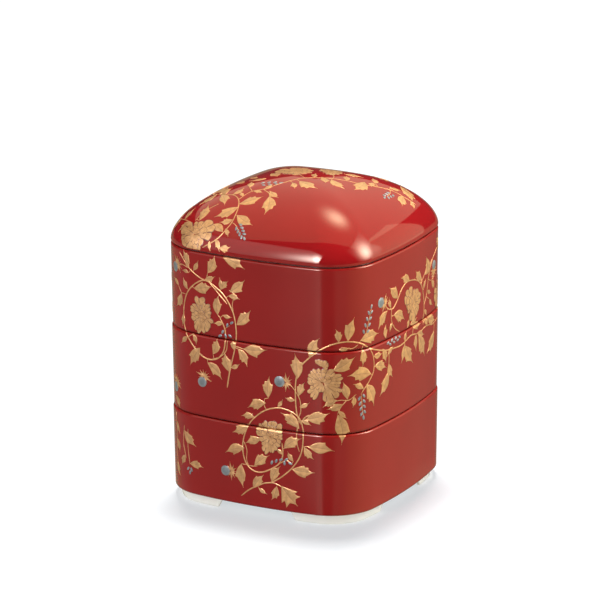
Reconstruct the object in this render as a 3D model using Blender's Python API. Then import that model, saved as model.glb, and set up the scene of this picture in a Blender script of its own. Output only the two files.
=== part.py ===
"""Stacking food box of glazed porcelain: three trays of one mould and a domed lid.

The plan is a square with bowed sides and round corners. Each tray has a stepped rim, and a foot
ring that drops into the rim of the tray below. The ring is cut away in the middle of each side,
which leaves four corner feet. The lid is a hollow dome with a flange that drops into the top rim.

Metres, +Z up. The origin is on the table, under the middle of the box. -Y is the front.
"""

import math

import bmesh
import bpy

COLLECTION = "tiered_porcelain_food_box"
TIERS = ("bottom_tier", "middle_tier", "top_tier")
LID = "lid"

# Plan of the rim: each side is a shallow arc, and each corner is a tight one.
HALF_WIDTH = 0.0675
CORNER_RADIUS = 0.0297
SIDE_RADIUS = 0.294
SIDE_STEPS = 6
CORNER_STEPS = 6

# Heights in one tray, from the underside of its feet.
FOOT_HEIGHT = 0.0064
WALL_HEIGHT = 0.0486
TIER_PITCH = 0.0492
FLOOR_THICKNESS = 0.0045
UNDERSIDE_RECESS = 0.0006

# Depths in from the plan of the rim.
WALL_TAPER = 0.0005
LIP_THICKNESS = 0.003
FOOT_INSET = 0.0034
FOOT_INSET_AT_TABLE = 0.0043
FOOT_INNER = 0.0062
WALL_THICKNESS = 0.006

# Rounding of the edges.
LIP_RADIUS = 0.0011
HEEL_RADIUS = 0.0007
INNER_EDGE = 0.0004
FLOOR_FILLET = 0.006
EDGE_STEPS = 3

# Gaps between the feet, which widen downwards.
GAP_HALF_WIDTH = 0.0265
GAP_HALF_WIDTH_ABOVE = 0.022
GAP_ROOT = 0.0005

# Lid.
LID_SEAM = 0.0007
LID_HEIGHT = 0.0345
LID_THICKNESS = 0.0042
DOME_POWER = 0.585
DOME_RINGS = 9
CROWN_SCALE = 0.12

# What rests on a ledge stands this far over it.
REST_CLEARANCE = 0.0003

TIER_TOP = FOOT_HEIGHT + WALL_HEIGHT
LEDGE = TIER_PITCH - REST_CLEARANCE

RED_GLAZE = (0.42, 0.022, 0.014, 1.0)


def corner_centre():
    """Distance along X and along Y of each corner arc's centre, where it meets both side arcs."""
    setback = SIDE_RADIUS - HALF_WIDTH
    reach = SIDE_RADIUS - CORNER_RADIUS
    return (math.sqrt(2.0 * reach ** 2 - setback ** 2) - setback) / 2.0


def arc(centre, radius, start, end, steps):
    """Points on an arc, without its last one."""
    points = []
    for step in range(steps):
        angle = start + (end - start) * step / steps
        points.append((centre[0] + radius * math.cos(angle), centre[1] + radius * math.sin(angle)))
    return points


def plan(inset):
    """Closed outline of the box at a depth in from the plan of the rim, counter-clockwise."""
    setback = SIDE_RADIUS - HALF_WIDTH
    corner = corner_centre()
    turn = math.atan2(corner, corner + setback)
    quarter = arc((-setback, 0.0), SIDE_RADIUS - inset, -turn, turn, SIDE_STEPS)
    quarter += arc((corner, corner), CORNER_RADIUS - inset, turn, math.pi / 2.0 - turn, CORNER_STEPS)
    outline = []
    for _ in range(4):
        outline += quarter
        quarter = [(-y, x) for x, y in quarter]
    return outline


def ring(inset, height, scale=1.0):
    """One level of a loft: the plan at an inset, scaled about the middle and raised."""
    return [(x * scale, y * scale, height) for x, y in plan(inset)]


def rounded(inset, height, radius, start, end):
    """Rings round an edge. The angle runs from the outward horizontal, up, about the arc's centre."""
    rings = []
    for step in range(EDGE_STEPS + 1):
        angle = math.radians(start + (end - start) * step / EDGE_STEPS)
        rings.append(ring(inset - radius * math.cos(angle), height + radius * math.sin(angle)))
    return rings


def loft(name, rings, collection, material):
    """Closed solid through rings of one point count, capped flat at the first and the last."""
    body = bmesh.new()
    loops = [[body.verts.new(point) for point in points] for points in rings]
    count = len(loops[0])
    for lower, upper in zip(loops, loops[1:]):
        for index in range(count):
            following = (index + 1) % count
            body.faces.new((lower[index], lower[following], upper[following], upper[index]))
    body.faces.new(loops[0][::-1])
    body.faces.new(loops[-1])
    bmesh.ops.recalc_face_normals(body, faces=body.faces)
    mesh = bpy.data.meshes.new(name)
    body.to_mesh(mesh)
    body.free()
    mesh.materials.append(material)
    mesh.shade_smooth()
    mesh.set_sharp_from_angle(angle=math.radians(35.0))
    piece = bpy.data.objects.new(name, mesh)
    collection.objects.link(piece)
    return piece


def tray_rings():
    """Profile of a tray from the middle of its underside, round the foot and wall, to its floor."""
    heel = WALL_TAPER + HEEL_RADIUS
    underside = FOOT_HEIGHT + UNDERSIDE_RECESS
    floor = underside + FLOOR_THICKNESS
    rings = [
        ring(FOOT_INNER + INNER_EDGE, underside),
        ring(FOOT_INNER, underside - INNER_EDGE),
        ring(FOOT_INNER, INNER_EDGE),
        ring(FOOT_INNER - INNER_EDGE, 0.0),
        ring(FOOT_INSET_AT_TABLE + INNER_EDGE, 0.0),
        ring(FOOT_INSET_AT_TABLE, INNER_EDGE),
        ring(FOOT_INSET, FOOT_HEIGHT),
    ]
    rings += rounded(heel, FOOT_HEIGHT + HEEL_RADIUS, HEEL_RADIUS, -90.0, 0.0)
    rings += rounded(LIP_RADIUS, TIER_TOP - LIP_RADIUS, LIP_RADIUS, 0.0, 90.0)
    rings += [
        ring(LIP_THICKNESS - INNER_EDGE, TIER_TOP),
        ring(LIP_THICKNESS, TIER_TOP - INNER_EDGE),
        ring(LIP_THICKNESS, LEDGE),
        ring(WALL_THICKNESS - INNER_EDGE, LEDGE),
        ring(WALL_THICKNESS, LEDGE - INNER_EDGE),
    ]
    fillet = rounded(WALL_THICKNESS + FLOOR_FILLET, floor + FLOOR_FILLET, FLOOR_FILLET, 0.0, -90.0)
    return rings + fillet


def gap_cutter(name, turn, collection):
    """Bar through the whole foot ring along one direction, narrower at its top."""
    body = bmesh.new()
    bmesh.ops.create_cube(body, size=1.0)
    length = 2.0 * HALF_WIDTH
    top = FOOT_HEIGHT - GAP_ROOT
    slope = (GAP_HALF_WIDTH - GAP_HALF_WIDTH_ABOVE) / top
    for vertex in body.verts:
        height = top if vertex.co.z > 0.0 else -top
        reach = GAP_HALF_WIDTH - slope * height
        vertex.co = (vertex.co.x * length, math.copysign(reach, vertex.co.y), height)
    mesh = bpy.data.meshes.new(name)
    body.to_mesh(mesh)
    body.free()
    cutter = bpy.data.objects.new(name, mesh)
    cutter.rotation_euler.z = turn
    cutter.hide_render = True
    cutter.display_type = "WIRE"
    collection.objects.link(cutter)
    return cutter


def tray_mesh(cutters, material):
    """Mesh of one tray: its loft, with the gaps between its feet cut through the foot ring."""
    mould = loft("tray_mould", tray_rings(), cutters, material)
    for name, turn in (("gap_side_to_side", 0.0), ("gap_front_to_back", math.pi / 2.0)):
        cut = mould.modifiers.new(name, "BOOLEAN")
        cut.operation = "DIFFERENCE"
        cut.solver = "EXACT"
        cut.object = gap_cutter(name, turn, cutters)
    bpy.context.view_layer.update()
    finished = mould.evaluated_get(bpy.context.evaluated_depsgraph_get())
    mesh = bpy.data.meshes.new_from_object(finished)
    mesh.name = "tray"
    bpy.data.objects.remove(mould, do_unlink=True)
    return mesh


def build_tiers(parts, cutters, material):
    """The three trays, which share one mesh, each standing in the rim of the one below."""
    mesh = tray_mesh(cutters, material)
    for level, name in enumerate(TIERS):
        tray = bpy.data.objects.new(name, mesh)
        tray.location.z = level * TIER_PITCH
        parts.objects.link(tray)


def dome_scales():
    """Shares of the plan's width at the levels of a dome, from its edge to its crown."""
    start = 0.0
    end = math.acos(CROWN_SCALE)
    return [math.cos(start + (end - start) * step / DOME_RINGS) for step in range(DOME_RINGS + 1)]


def dome_rings(inset, base, rise):
    """Levels of a dome over the plan at an inset, from its edge up to its crown."""
    return [ring(inset, base + rise * (1.0 - scale ** 2) ** DOME_POWER, scale) for scale in dome_scales()]


def build_lid(parts, material):
    """Hollow dome with a rounded edge and the flange that locates it in the top rim."""
    top_tier = TIER_PITCH * (len(TIERS) - 1)
    edge = top_tier + TIER_TOP + LID_SEAM
    flange_foot = top_tier + TIER_PITCH
    inner = dome_rings(WALL_THICKNESS, edge, LID_HEIGHT - LID_THICKNESS)
    rings = inner[::-1]
    rings += [
        ring(WALL_THICKNESS, flange_foot + INNER_EDGE),
        ring(WALL_THICKNESS - INNER_EDGE, flange_foot),
        ring(FOOT_INSET + INNER_EDGE, flange_foot),
        ring(FOOT_INSET, flange_foot + INNER_EDGE),
        ring(FOOT_INSET, edge),
    ]
    rings += rounded(LIP_RADIUS, edge + LIP_RADIUS, LIP_RADIUS, -90.0, 0.0)
    rings += dome_rings(0.0, edge + LIP_RADIUS, LID_HEIGHT - LIP_RADIUS)[1:]
    loft(LID, rings, parts, material)


def red_glaze():
    """Glossy red overglaze."""
    material = bpy.data.materials.new("red_glaze")
    material.use_nodes = True
    shader = material.node_tree.nodes["Principled BSDF"]
    shader.inputs["Base Color"].default_value = RED_GLAZE
    shader.inputs["Roughness"].default_value = 0.12
    shader.inputs["Metallic"].default_value = 0.0
    return material


def main():
    """Clear the scene and build the box."""
    for item in list(bpy.data.objects):
        bpy.data.objects.remove(item, do_unlink=True)
    parts = bpy.data.collections.new(COLLECTION)
    cutters = bpy.data.collections.new("cutters")
    bpy.context.scene.collection.children.link(parts)
    bpy.context.scene.collection.children.link(cutters)
    material = red_glaze()
    build_tiers(parts, cutters, material)
    build_lid(parts, material)


main()
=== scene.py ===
"""Studio view of a stacking food box in red-glazed porcelain, painted in gold and silver blue.

Three trays of one mould and a domed lid are lofted on one rounded-square plan. The painting is a
trailing peony pattern, raised like thick enamel. It is drawn flat in millimetres, on the unrolled
wall (distance round the plan, height over the table) and on the dome rolled out from its crown,
and each closed shape is then laid on the glaze.
"""

import logging
import math
from dataclasses import dataclass, replace
from enum import Enum
from typing import Iterable, Sequence

import bmesh
import bpy
import numpy as np
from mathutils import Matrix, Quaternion, Vector


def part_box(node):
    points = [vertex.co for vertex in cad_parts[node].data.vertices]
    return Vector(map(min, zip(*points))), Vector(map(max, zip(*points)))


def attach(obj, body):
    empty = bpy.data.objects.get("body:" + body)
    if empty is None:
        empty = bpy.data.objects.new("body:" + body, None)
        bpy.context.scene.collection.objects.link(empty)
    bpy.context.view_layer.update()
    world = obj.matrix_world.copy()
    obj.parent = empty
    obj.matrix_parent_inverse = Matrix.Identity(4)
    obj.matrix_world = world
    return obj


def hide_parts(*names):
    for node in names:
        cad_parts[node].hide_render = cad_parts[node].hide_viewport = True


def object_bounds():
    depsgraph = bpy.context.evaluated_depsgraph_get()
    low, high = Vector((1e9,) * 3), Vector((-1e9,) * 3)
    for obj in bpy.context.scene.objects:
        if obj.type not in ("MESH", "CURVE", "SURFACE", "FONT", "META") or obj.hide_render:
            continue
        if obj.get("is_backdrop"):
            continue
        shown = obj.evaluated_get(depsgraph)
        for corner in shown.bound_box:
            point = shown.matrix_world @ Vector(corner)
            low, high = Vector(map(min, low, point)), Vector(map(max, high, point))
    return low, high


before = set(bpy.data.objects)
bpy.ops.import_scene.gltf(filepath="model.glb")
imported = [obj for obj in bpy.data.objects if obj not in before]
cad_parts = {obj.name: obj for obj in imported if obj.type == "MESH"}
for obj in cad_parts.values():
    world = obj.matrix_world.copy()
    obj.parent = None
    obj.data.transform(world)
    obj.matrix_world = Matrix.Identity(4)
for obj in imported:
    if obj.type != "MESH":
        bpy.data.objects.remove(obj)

LOG = logging.getLogger("food_box")
MM = 0.001
TIERS = ("bottom_tier", "middle_tier", "top_tier")
LID = "lid"
Point = tuple[float, float]
Colour = tuple[float, float, float]
Socket = bpy.types.NodeSocket
Inputs = dict[str | int, Socket | float | Sequence[float]]


# Shader graphs ------------------------------------------------------------------------------


class Graph:
    """Nodes of one material, light, world or node group, with short calls to add and join them."""

    def __init__(self, tree: bpy.types.NodeTree) -> None:
        """Empty a tree and hold it for filling."""
        self.tree = tree
        tree.nodes.clear()

    def feed(self, node: bpy.types.Node, inputs: Inputs) -> bpy.types.Node:
        """Set or join inputs of a node.

        Args:
            node: The node.
            inputs: Values or sockets for its inputs, by name or number.

        Returns:
            The same node.
        """
        for name, value in inputs.items():
            if isinstance(value, Socket):
                self.tree.links.new(value, node.inputs[name])
            else:
                node.inputs[name].default_value = value
        return node

    def add(self, kind: str, inputs: Inputs | None = None, **settings: object) -> bpy.types.Node:
        """Add one node.

        Args:
            kind: The node's type without its ShaderNode prefix.
            inputs: Values or sockets for its inputs, by name or number.
            **settings: Values for the node's own properties.

        Returns:
            The new node.
        """
        prefix = "" if kind.startswith("Node") else "ShaderNode"
        node = self.tree.nodes.new(prefix + kind)
        for name, value in settings.items():
            setattr(node, name, value)
        return self.feed(node, inputs or {})

    def use(self, group: bpy.types.NodeTree, inputs: Inputs | None = None) -> bpy.types.NodeOutputs:
        """Place a shared group with its own values and return its outputs."""
        return self.add("Group", inputs, node_tree=group).outputs

    def attribute(self, name: str) -> Socket:
        """Read a number that the mesh holds at each point."""
        return self.add("Attribute", attribute_name=name).outputs["Fac"]

    def mix(self, amount: Socket | float, first: Socket | Colour, second: Socket | Colour) -> Socket:
        """Blend two colours by an amount."""
        return self.add("Mix", {0: amount, 6: opaque(first), 7: opaque(second)}, data_type="RGBA").outputs[2]

    def spread(self, value: Socket, low: float, high: float, start: float = 0.0, end: float = 1.0) -> Socket:
        """Map a value from start-end to low-high."""
        return self.add("MapRange", {0: value, 1: start, 2: end, 3: low, 4: high}).outputs[0]

    def calculate(self, operation: str, *terms: Socket | float) -> Socket:
        """Work out one sum of numbers."""
        return self.add("Math", dict(enumerate(terms)), operation=operation).outputs[0]

    def combine(self, operation: str, *terms: Socket | Colour) -> Socket:
        """Work out one sum of vectors or colours; a dot product gives a number."""
        node = self.add("VectorMath", dict(enumerate(terms)), operation=operation)
        return node.outputs[int(operation == "DOT_PRODUCT")]

    def bump(self, height: Socket, distance: float, strength: float = 1.0) -> Socket:
        """Turn a height that changes over the surface into a normal."""
        return self.add("Bump", {"Height": height, "Distance": distance, "Strength": strength}).outputs[0]

    def ramp(self, place: Socket, stops: Sequence[tuple[float, Colour]]) -> Socket:
        """Add a colour ramp whose stops may be brighter than white.

        Args:
            place: The place on the ramp, from 0 to 1.
            stops: Each stop's place and its colour, in rising order.

        Returns:
            The colour.
        """
        node = self.add("ValToRGB", {"Fac": place})
        brightest = max(max(colour) for _, colour in stops)
        made = node.color_ramp.elements
        for index, (spot, colour) in enumerate(stops):
            stop = made[index] if index < len(made) else made.new(1.0)
            stop.position = spot
            stop.color = opaque([part / brightest for part in colour])
        return self.combine("MULTIPLY", node.outputs["Color"], (brightest,) * 3)


def opaque(colour: Socket | Sequence[float]) -> Socket | tuple[float, ...]:
    """Give a plain colour its full opacity, and leave a socket as it is."""
    return colour if isinstance(colour, Socket) else (*colour, 1.0)


def group_graph(name: str, inputs: dict[str, float],
                outputs: Sequence[str]) -> tuple[Graph, dict[str, Socket]]:
    """Begin a shared node group whose sockets are all plain numbers.

    Args:
        name: The group's name.
        inputs: Each input's name and usual value.
        outputs: The outputs' names.

    Returns:
        The graph, and its input sockets by name.
    """
    tree = bpy.data.node_groups.new(name, "ShaderNodeTree")
    graph = Graph(tree)
    for label, value in inputs.items():
        socket = tree.interface.new_socket(label, in_out="INPUT", socket_type="NodeSocketFloat")
        socket.default_value = value
    for label in outputs:
        tree.interface.new_socket(label, in_out="OUTPUT", socket_type="NodeSocketFloat")
    entry = graph.add("NodeGroupInput")
    return graph, {label: entry.outputs[label] for label in inputs}


def glaze_group() -> bpy.types.NodeTree:
    """Build the unevenness of a fired glaze: slow waves, fine pits and pooled colour.

    Returns:
        A group with outputs Waves, Pits and Pooling, each from 0 to 1.
    """
    graph, given = group_graph(
        "glaze_flow", {"Wave Scale": 55.0, "Pit Scale": 900.0, "Pool Scale": 16.0},
        ("Waves", "Pits", "Pooling"))
    place = graph.add("TexCoord").outputs["Object"]
    waves = graph.add("TexNoise", {"Vector": place, "Scale": given["Wave Scale"], "Detail": 1.0})
    pits = graph.add("TexVoronoi", {"Vector": place, "Scale": given["Pit Scale"]})
    pit_edge, pit_end = 0.03, 0.12
    few = graph.spread(pits.outputs["Distance"], 0.0, 1.0, pit_edge, pit_end)
    pools = graph.add("TexNoise", {"Vector": place, "Scale": given["Pool Scale"], "Detail": 3.0})
    graph.add("NodeGroupOutput", {"Waves": waves.outputs[0], "Pits": few, "Pooling": pools.outputs[0]})
    return graph.tree


def powder_group() -> bpy.types.NodeTree:
    """Build the grain of metal powder laid on lacquer: even specks with thinner patches.

    Returns:
        A group with outputs Grain, Patches and Height, each from 0 to 1.
    """
    graph, given = group_graph(
        "sprinkled_powder", {"Grain Scale": 5200.0, "Patch Scale": 160.0, "Patch Contrast": 0.5},
        ("Grain", "Patches", "Height"))
    place = graph.add("TexCoord").outputs["Object"]
    specks = graph.add("TexVoronoi", {"Vector": place, "Scale": given["Grain Scale"]}).outputs
    patches = graph.add("TexNoise", {"Vector": place, "Scale": given["Patch Scale"], "Detail": 4.0})
    centred = graph.calculate("SUBTRACT", patches.outputs[0], 0.5)
    scaled = graph.calculate("MULTIPLY_ADD", centred, given["Patch Contrast"], 0.5)
    graph.add("NodeGroupOutput", {"Grain": specks["Color"], "Patches": scaled, "Height": specks["Distance"]})
    return graph.tree


def brush_group() -> bpy.types.NodeTree:
    """Build the mask of drawn outlines from the painting's own line attribute.

    Returns:
        A group with output Line, from 0 on the flat of a shape to 1 on a drawn line.
    """
    graph, given = group_graph("drawn_line", {"Threshold": 0.4, "Softness": 0.25}, ("Line",))
    over = graph.calculate("SUBTRACT", graph.attribute("line"), given["Threshold"])
    sharp = graph.add("Math", {0: over, 1: given["Softness"]}, operation="DIVIDE", use_clamp=True)
    graph.add("NodeGroupOutput", {"Line": sharp.outputs[0]})
    return graph.tree


@dataclass(frozen=True)
class Effects:
    """Shared node groups, built once and handed to every finish."""

    glaze: bpy.types.NodeTree
    powder: bpy.types.NodeTree
    line: bpy.types.NodeTree

    @classmethod
    def build(cls) -> "Effects":
        """Build all three groups."""
        return cls(glaze_group(), powder_group(), brush_group())


def finish_of(name: str, colour: Colour) -> tuple[bpy.types.Material, Graph, bpy.types.Node]:
    """Begin a material on one Principled shader.

    Args:
        name: The material's name.
        colour: The colour it shows in a plain viewport.

    Returns:
        The material, its graph and its shader node.
    """
    material = bpy.data.materials.new(name)
    material.use_nodes = True
    material.diffuse_color = opaque(colour)
    graph = Graph(material.node_tree)
    shader = graph.add("BsdfPrincipled")
    graph.add("OutputMaterial", {"Surface": shader.outputs[0]})
    return material, graph, shader


@dataclass(frozen=True)
class RedGlaze:
    """Deep red glaze, glossy as lacquer, thinner and warmer over the lips, and darker at the heels as
    painted shade.
    """

    deep: Colour = (0.25, 0.005, 0.007)
    bright: Colour = (0.29, 0.007, 0.009)
    thin: Colour = (0.34, 0.018, 0.012)
    # Painted shade: the darker red that the heels take.
    pooled_and_shaded: Colour = (0.20, 0.002, 0.003)
    roughness: tuple[float, float] = (0.05, 0.08)
    specular_tint: Colour = (1.0, 0.85, 0.70)
    pool_range: tuple[float, float] = (0.3, 0.7)
    thinning: float = 0.6
    wave_height: float = 0.03 * MM

    def build(self, effects: Effects) -> bpy.types.Material:
        """Build the material.

        Args:
            effects: The shared node groups.

        Returns:
            The material.
        """
        material, graph, shader = finish_of("red_glaze", self.bright)
        flow = graph.use(effects.glaze)
        pooling = graph.spread(flow["Pooling"], 0.0, 1.0, *self.pool_range)
        edge = graph.attribute("edge")
        colour = graph.mix(pooling, self.deep, self.bright)
        colour = graph.mix(graph.spread(edge, 0.0, self.thinning), colour, self.thin)
        graph.feed(shader, {
            # Painted shade: rings with edge -1, round the heel, take the darker red.
            "Base Color": graph.mix(graph.spread(edge, 1.0, 0.0, -1.0, 0.0), colour, self.pooled_and_shaded),
            "Roughness": graph.spread(flow["Pits"], self.roughness[1], self.roughness[0]),
            "Normal": graph.bump(flow["Waves"], self.wave_height),
            "Specular Tint": opaque(self.specular_tint)})
        return material


@dataclass(frozen=True)
class WhitePorcelain:
    """Clear-glazed white body of the feet, the undersides and the insides."""

    body: Colour = (0.95, 0.945, 0.935)
    pooled_and_shaded: Colour = (0.89, 0.91, 0.92)
    bare: Colour = (0.80, 0.76, 0.69)
    roughness: tuple[float, float] = (0.14, 0.6)
    pool_range: tuple[float, float] = (0.45, 0.75)
    pool_scale: float = 28.0
    wave_scale: float = 80.0
    wave_height: float = 0.04 * MM

    def build(self, effects: Effects) -> bpy.types.Material:
        """Build the material.

        Args:
            effects: The shared node groups.

        Returns:
            The material.
        """
        material, graph, shader = finish_of("white_porcelain", self.body)
        flow = graph.use(effects.glaze, {"Wave Scale": self.wave_scale, "Pool Scale": self.pool_scale})
        pooling = graph.spread(flow["Pooling"], 0.0, 1.0, *self.pool_range)
        tone = graph.mix(pooling, self.body, self.pooled_and_shaded)
        edge = graph.attribute("edge")
        graph.feed(shader, {
            "Base Color": graph.mix(edge, tone, self.bare),
            "Roughness": graph.spread(edge, *self.roughness),
            "Normal": graph.bump(flow["Waves"], self.wave_height)})
        return material


@dataclass(frozen=True)
class MetalPaint:
    """Powdered metal fired over the glaze, with darker drawn lines."""

    name: str
    light: Colour
    dark: Colour
    line: Colour
    metallic: float
    patch_scale: float
    patch_contrast: float
    roughness: tuple[float, float] = (0.34, 0.5)
    coat: float = 0.35
    coat_roughness: float = 0.12
    grain_height: float = 0.01 * MM
    grain_strength: float = 0.5

    def build(self, effects: Effects) -> bpy.types.Material:
        """Build the material.

        Args:
            effects: The shared node groups.

        Returns:
            The material.
        """
        material, graph, shader = finish_of(self.name, self.light)
        powder = graph.use(effects.powder, {
            "Patch Scale": self.patch_scale, "Patch Contrast": self.patch_contrast})
        line = graph.use(effects.line)["Line"]
        graph.feed(shader, {
            "Base Color": graph.mix(line, graph.mix(powder["Patches"], self.dark, self.light), self.line),
            "Roughness": graph.spread(powder["Grain"], *self.roughness),
            "Metallic": graph.spread(line, self.metallic, 0.0),
            "Normal": graph.bump(powder["Height"], self.grain_height, self.grain_strength),
            "Coat Weight": self.coat,
            "Coat Roughness": self.coat_roughness})
        return material


GOLD = MetalPaint(
    "gold_overglaze", (0.80, 0.465, 0.205), (0.44, 0.20, 0.07), (0.16, 0.035, 0.018),
    metallic=0.6, patch_scale=420.0, patch_contrast=1.5)
SILVER_BLUE = MetalPaint(
    "silver_blue_overglaze", (0.30, 0.325, 0.335), (0.14, 0.16, 0.18), (0.08, 0.10, 0.12),
    metallic=0.3, patch_scale=300.0, patch_contrast=1.8)


@dataclass(frozen=True)
class PaperSweep:
    """White studio floor. The camera sees it white; the object sees a dimmer, warmer glow from it, which
    is painted light.

    Its glow in the glaze is a painted reflection that changes with the direction from the object's
    near corner, as white and dark cards round the set would make it; a card is a direction in
    degrees and a share of the glow. Under the object the glow is dark, painted shade, and round its
    base it is brighter, painted light on the feet and the heels; a near stop is a distance in mm and
    a share of the glow.
    """

    seen: Colour = (0.50, 0.50, 0.50)
    seen_glow: Colour = (0.548, 0.580, 0.602)
    bounce: Colour = (0.10, 0.10, 0.08)
    # Painted light: the floor's glow that lights the object's diffuse surfaces.
    bounce_glow: Colour = (0.72, 0.71, 0.66)
    mirrored_glow: Colour = (0.30, 0.29, 0.24)
    # Painted shade under the base, and painted light in a ring round it.
    near: tuple[Point, ...] = ((55.0, 0.06), (66.0, 1.45), (74.0, 1.45), (92.0, 1.0))
    near_span: float = 200.0
    roughness: float = 0.9
    front_tint: Colour = (1.0, 1.07, 1.28)
    side_tint: Colour = (1.0, 1.0, 0.78)
    tint_limits: tuple[float, float] = (10.0, 70.0)
    card_centre: Point = (44.0 * MM, -60.0 * MM)
    # Painted reflection: each card is a direction and a share of the floor's glow seen in the glaze.
    cards: tuple[Point, ...] = (
        (-38.0, 1.0), (-28.0, 1.15), (-22.0, 1.6), (-16.0, 2.0), (-12.0, 2.5), (-5.0, 3.0), (2.0, 3.1),
        (7.0, 1.0), (12.0, 0.55), (30.0, 0.5), (38.0, 1.2), (43.0, 1.6), (58.0, 1.55), (74.0, 2.2),
        (90.0, 2.6), (105.0, 2.9), (120.0, 2.6), (136.0, 1.75), (142.0, 1.65), (150.0, 1.35),
        (157.0, 1.15), (162.0, 0.95), (170.0, 0.5), (200.0, 0.5), (270.0, 1.0))

    def near_light(self, graph: Graph) -> Socket:
        """Add the glow's share by distance: dark under the base as painted shade, and brighter round it as
        painted light.

        Args:
            graph: The material's graph.

        Returns:
            The share of the floor's usual glow.
        """
        place = graph.add("TexCoord").outputs["Object"]
        square = graph.combine("MULTIPLY", place, place)
        reach = graph.calculate("POWER", graph.combine("DOT_PRODUCT", square, square), 0.25)
        share = graph.spread(reach, 0.0, 1.0, 0.0, self.near_span * MM)
        stops = [(distance / self.near_span, (level,) * 3) for distance, level in self.near]
        return graph.ramp(share, stops)

    def card_light(self, graph: Graph) -> Socket:
        """Add the glow's colour by direction round the object, a painted reflection of the set.

        Args:
            graph: The material's graph.

        Returns:
            The colour, as shares of the mirrored glow.
        """
        place = graph.add("TexCoord").outputs["Object"]
        out = graph.combine("SUBTRACT", place, (*self.card_centre, 0.0))
        turn = graph.add("TexGradient", {"Vector": out}, gradient_type="RADIAL").outputs["Fac"]
        front, side = self.tint_limits
        start, full_turn = -90.0, 360.0
        stops = []
        for azimuth, share in self.cards:
            tint = (1.0, 1.0, 1.0)
            if azimuth < front:
                tint = self.front_tint
            elif azimuth > side:
                tint = self.side_tint
            stops.append(((azimuth - start) / full_turn, tuple(share * part for part in tint)))
        return graph.ramp(turn, stops)

    def build(self) -> bpy.types.Material:
        """Build the material.

        Returns:
            The material.
        """
        material, graph, shader = finish_of("white_paper", self.seen)
        path = graph.add("LightPath").outputs
        cards = graph.combine("MULTIPLY", self.mirrored_glow, self.card_light(graph))
        glow = graph.mix(path["Is Glossy Ray"], self.bounce_glow, cards)
        glow = graph.combine("MULTIPLY", glow, self.near_light(graph))
        graph.feed(shader, {
            "Base Color": graph.mix(path["Is Camera Ray"], self.bounce, self.seen),
            "Emission Color": graph.mix(path["Is Camera Ray"], glow, self.seen_glow),
            "Emission Strength": 1.0,
            "Roughness": self.roughness,
            "Specular IOR Level": 0.0})
        return material


# Plan and shells ----------------------------------------------------------------------------


@dataclass(frozen=True)
class Plan:
    """Rounded square that every tier shares: four shallow side arcs and four corner arcs."""

    half_width: float
    corner_radius: float = 29.7 * MM
    side_radius: float = 294.0 * MM
    side_steps: int = 64
    corner_steps: int = 36
    reach_steps: int = 2400

    @property
    def setback(self) -> float:
        """Distance from the axis to a side arc's centre."""
        return self.side_radius - self.half_width

    @property
    def corner_centre(self) -> float:
        """Distance along X and along Y of each corner arc's centre."""
        reach = self.side_radius - self.corner_radius
        return (math.sqrt(2.0 * reach ** 2 - self.setback ** 2) - self.setback) / 2.0

    @property
    def side_angle(self) -> float:
        """Half the angle that a side arc spans."""
        return math.atan2(self.corner_centre, self.corner_centre + self.setback)

    @property
    def side_length(self) -> float:
        """Length of one side arc."""
        return 2.0 * self.side_radius * self.side_angle

    @property
    def quarter(self) -> float:
        """Length of one side arc and one corner arc together."""
        return self.side_length + self.corner_radius * (math.pi / 2.0 - 2.0 * self.side_angle)

    def point(self, along: np.ndarray, inset: np.ndarray | float = 0.0) -> tuple[np.ndarray, np.ndarray]:
        """Find points on the outline or on a line parallel to it.

        Args:
            along: Distances round the outline from the middle of the front, towards +X.
            inset: Depths in from the outline.

        Returns:
            The points' X and Y.
        """
        turn = np.floor((along + self.side_length / 2.0) / self.quarter)
        local = along - turn * self.quarter
        on_side = local <= self.side_length / 2.0
        past = (local - self.side_length / 2.0) / self.corner_radius
        angle = np.where(on_side, local / self.side_radius, self.side_angle + past)
        radius = np.where(on_side, self.side_radius, self.corner_radius) - inset
        x = np.where(on_side, -self.setback, self.corner_centre) + radius * np.cos(angle)
        y = np.where(on_side, 0.0, self.corner_centre) + radius * np.sin(angle)
        heading = (turn - 1.0) * math.pi / 2.0
        return x * np.cos(heading) - y * np.sin(heading), x * np.sin(heading) + y * np.cos(heading)

    def stations(self) -> np.ndarray:
        """Place the shells' vertices round the outline.

        Returns:
            Their distances from the middle of the front.
        """
        side = np.linspace(-0.5, 0.5, self.side_steps, endpoint=False) * self.side_length
        corner = np.linspace(0.0, 1.0, self.corner_steps, endpoint=False)
        corner = self.side_length / 2.0 + corner * (self.quarter - self.side_length)
        return np.concatenate([np.concatenate([side, corner]) + turn * self.quarter for turn in range(4)])

    def reach(self, heading: np.ndarray) -> np.ndarray:
        """Find how far the outline is from the axis.

        Args:
            heading: Directions from +X.

        Returns:
            The distance in each direction.
        """
        x, y = self.point(np.linspace(0.0, 4.0 * self.quarter, self.reach_steps + 1))
        angles = np.unwrap(np.arctan2(y, x))
        return np.interp((heading - angles[0]) % (2.0 * math.pi) + angles[0], angles, np.hypot(x, y))


class Band(Enum):
    """Which finish a band of a shell takes; the value is its material slot."""

    RED = 0
    WHITE = 1


@dataclass(frozen=True)
class Ring:
    """One ring of a shell: a copy of the plan, set in and raised.

    The band is the finish between this ring and the next. A foot ring rises to its root over the
    gaps between the feet. The edge is 1 where glaze runs thin or is left off, and -1 at the heel,
    where the red takes painted shade.
    """

    inset: float
    height: float
    band: Band
    scale: float = 1.0
    root: float | None = None
    edge: float = 0.0


def bend(centre: Point, radius: float, start: float, end: float, steps: int = 8) -> list[Point]:
    """Give the points of an arc in a shell's profile, from start to end in degrees."""
    angles = np.radians(np.linspace(start, end, steps + 1))
    return [(centre[0] + radius * math.cos(a), centre[1] + radius * math.sin(a)) for a in angles]


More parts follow.
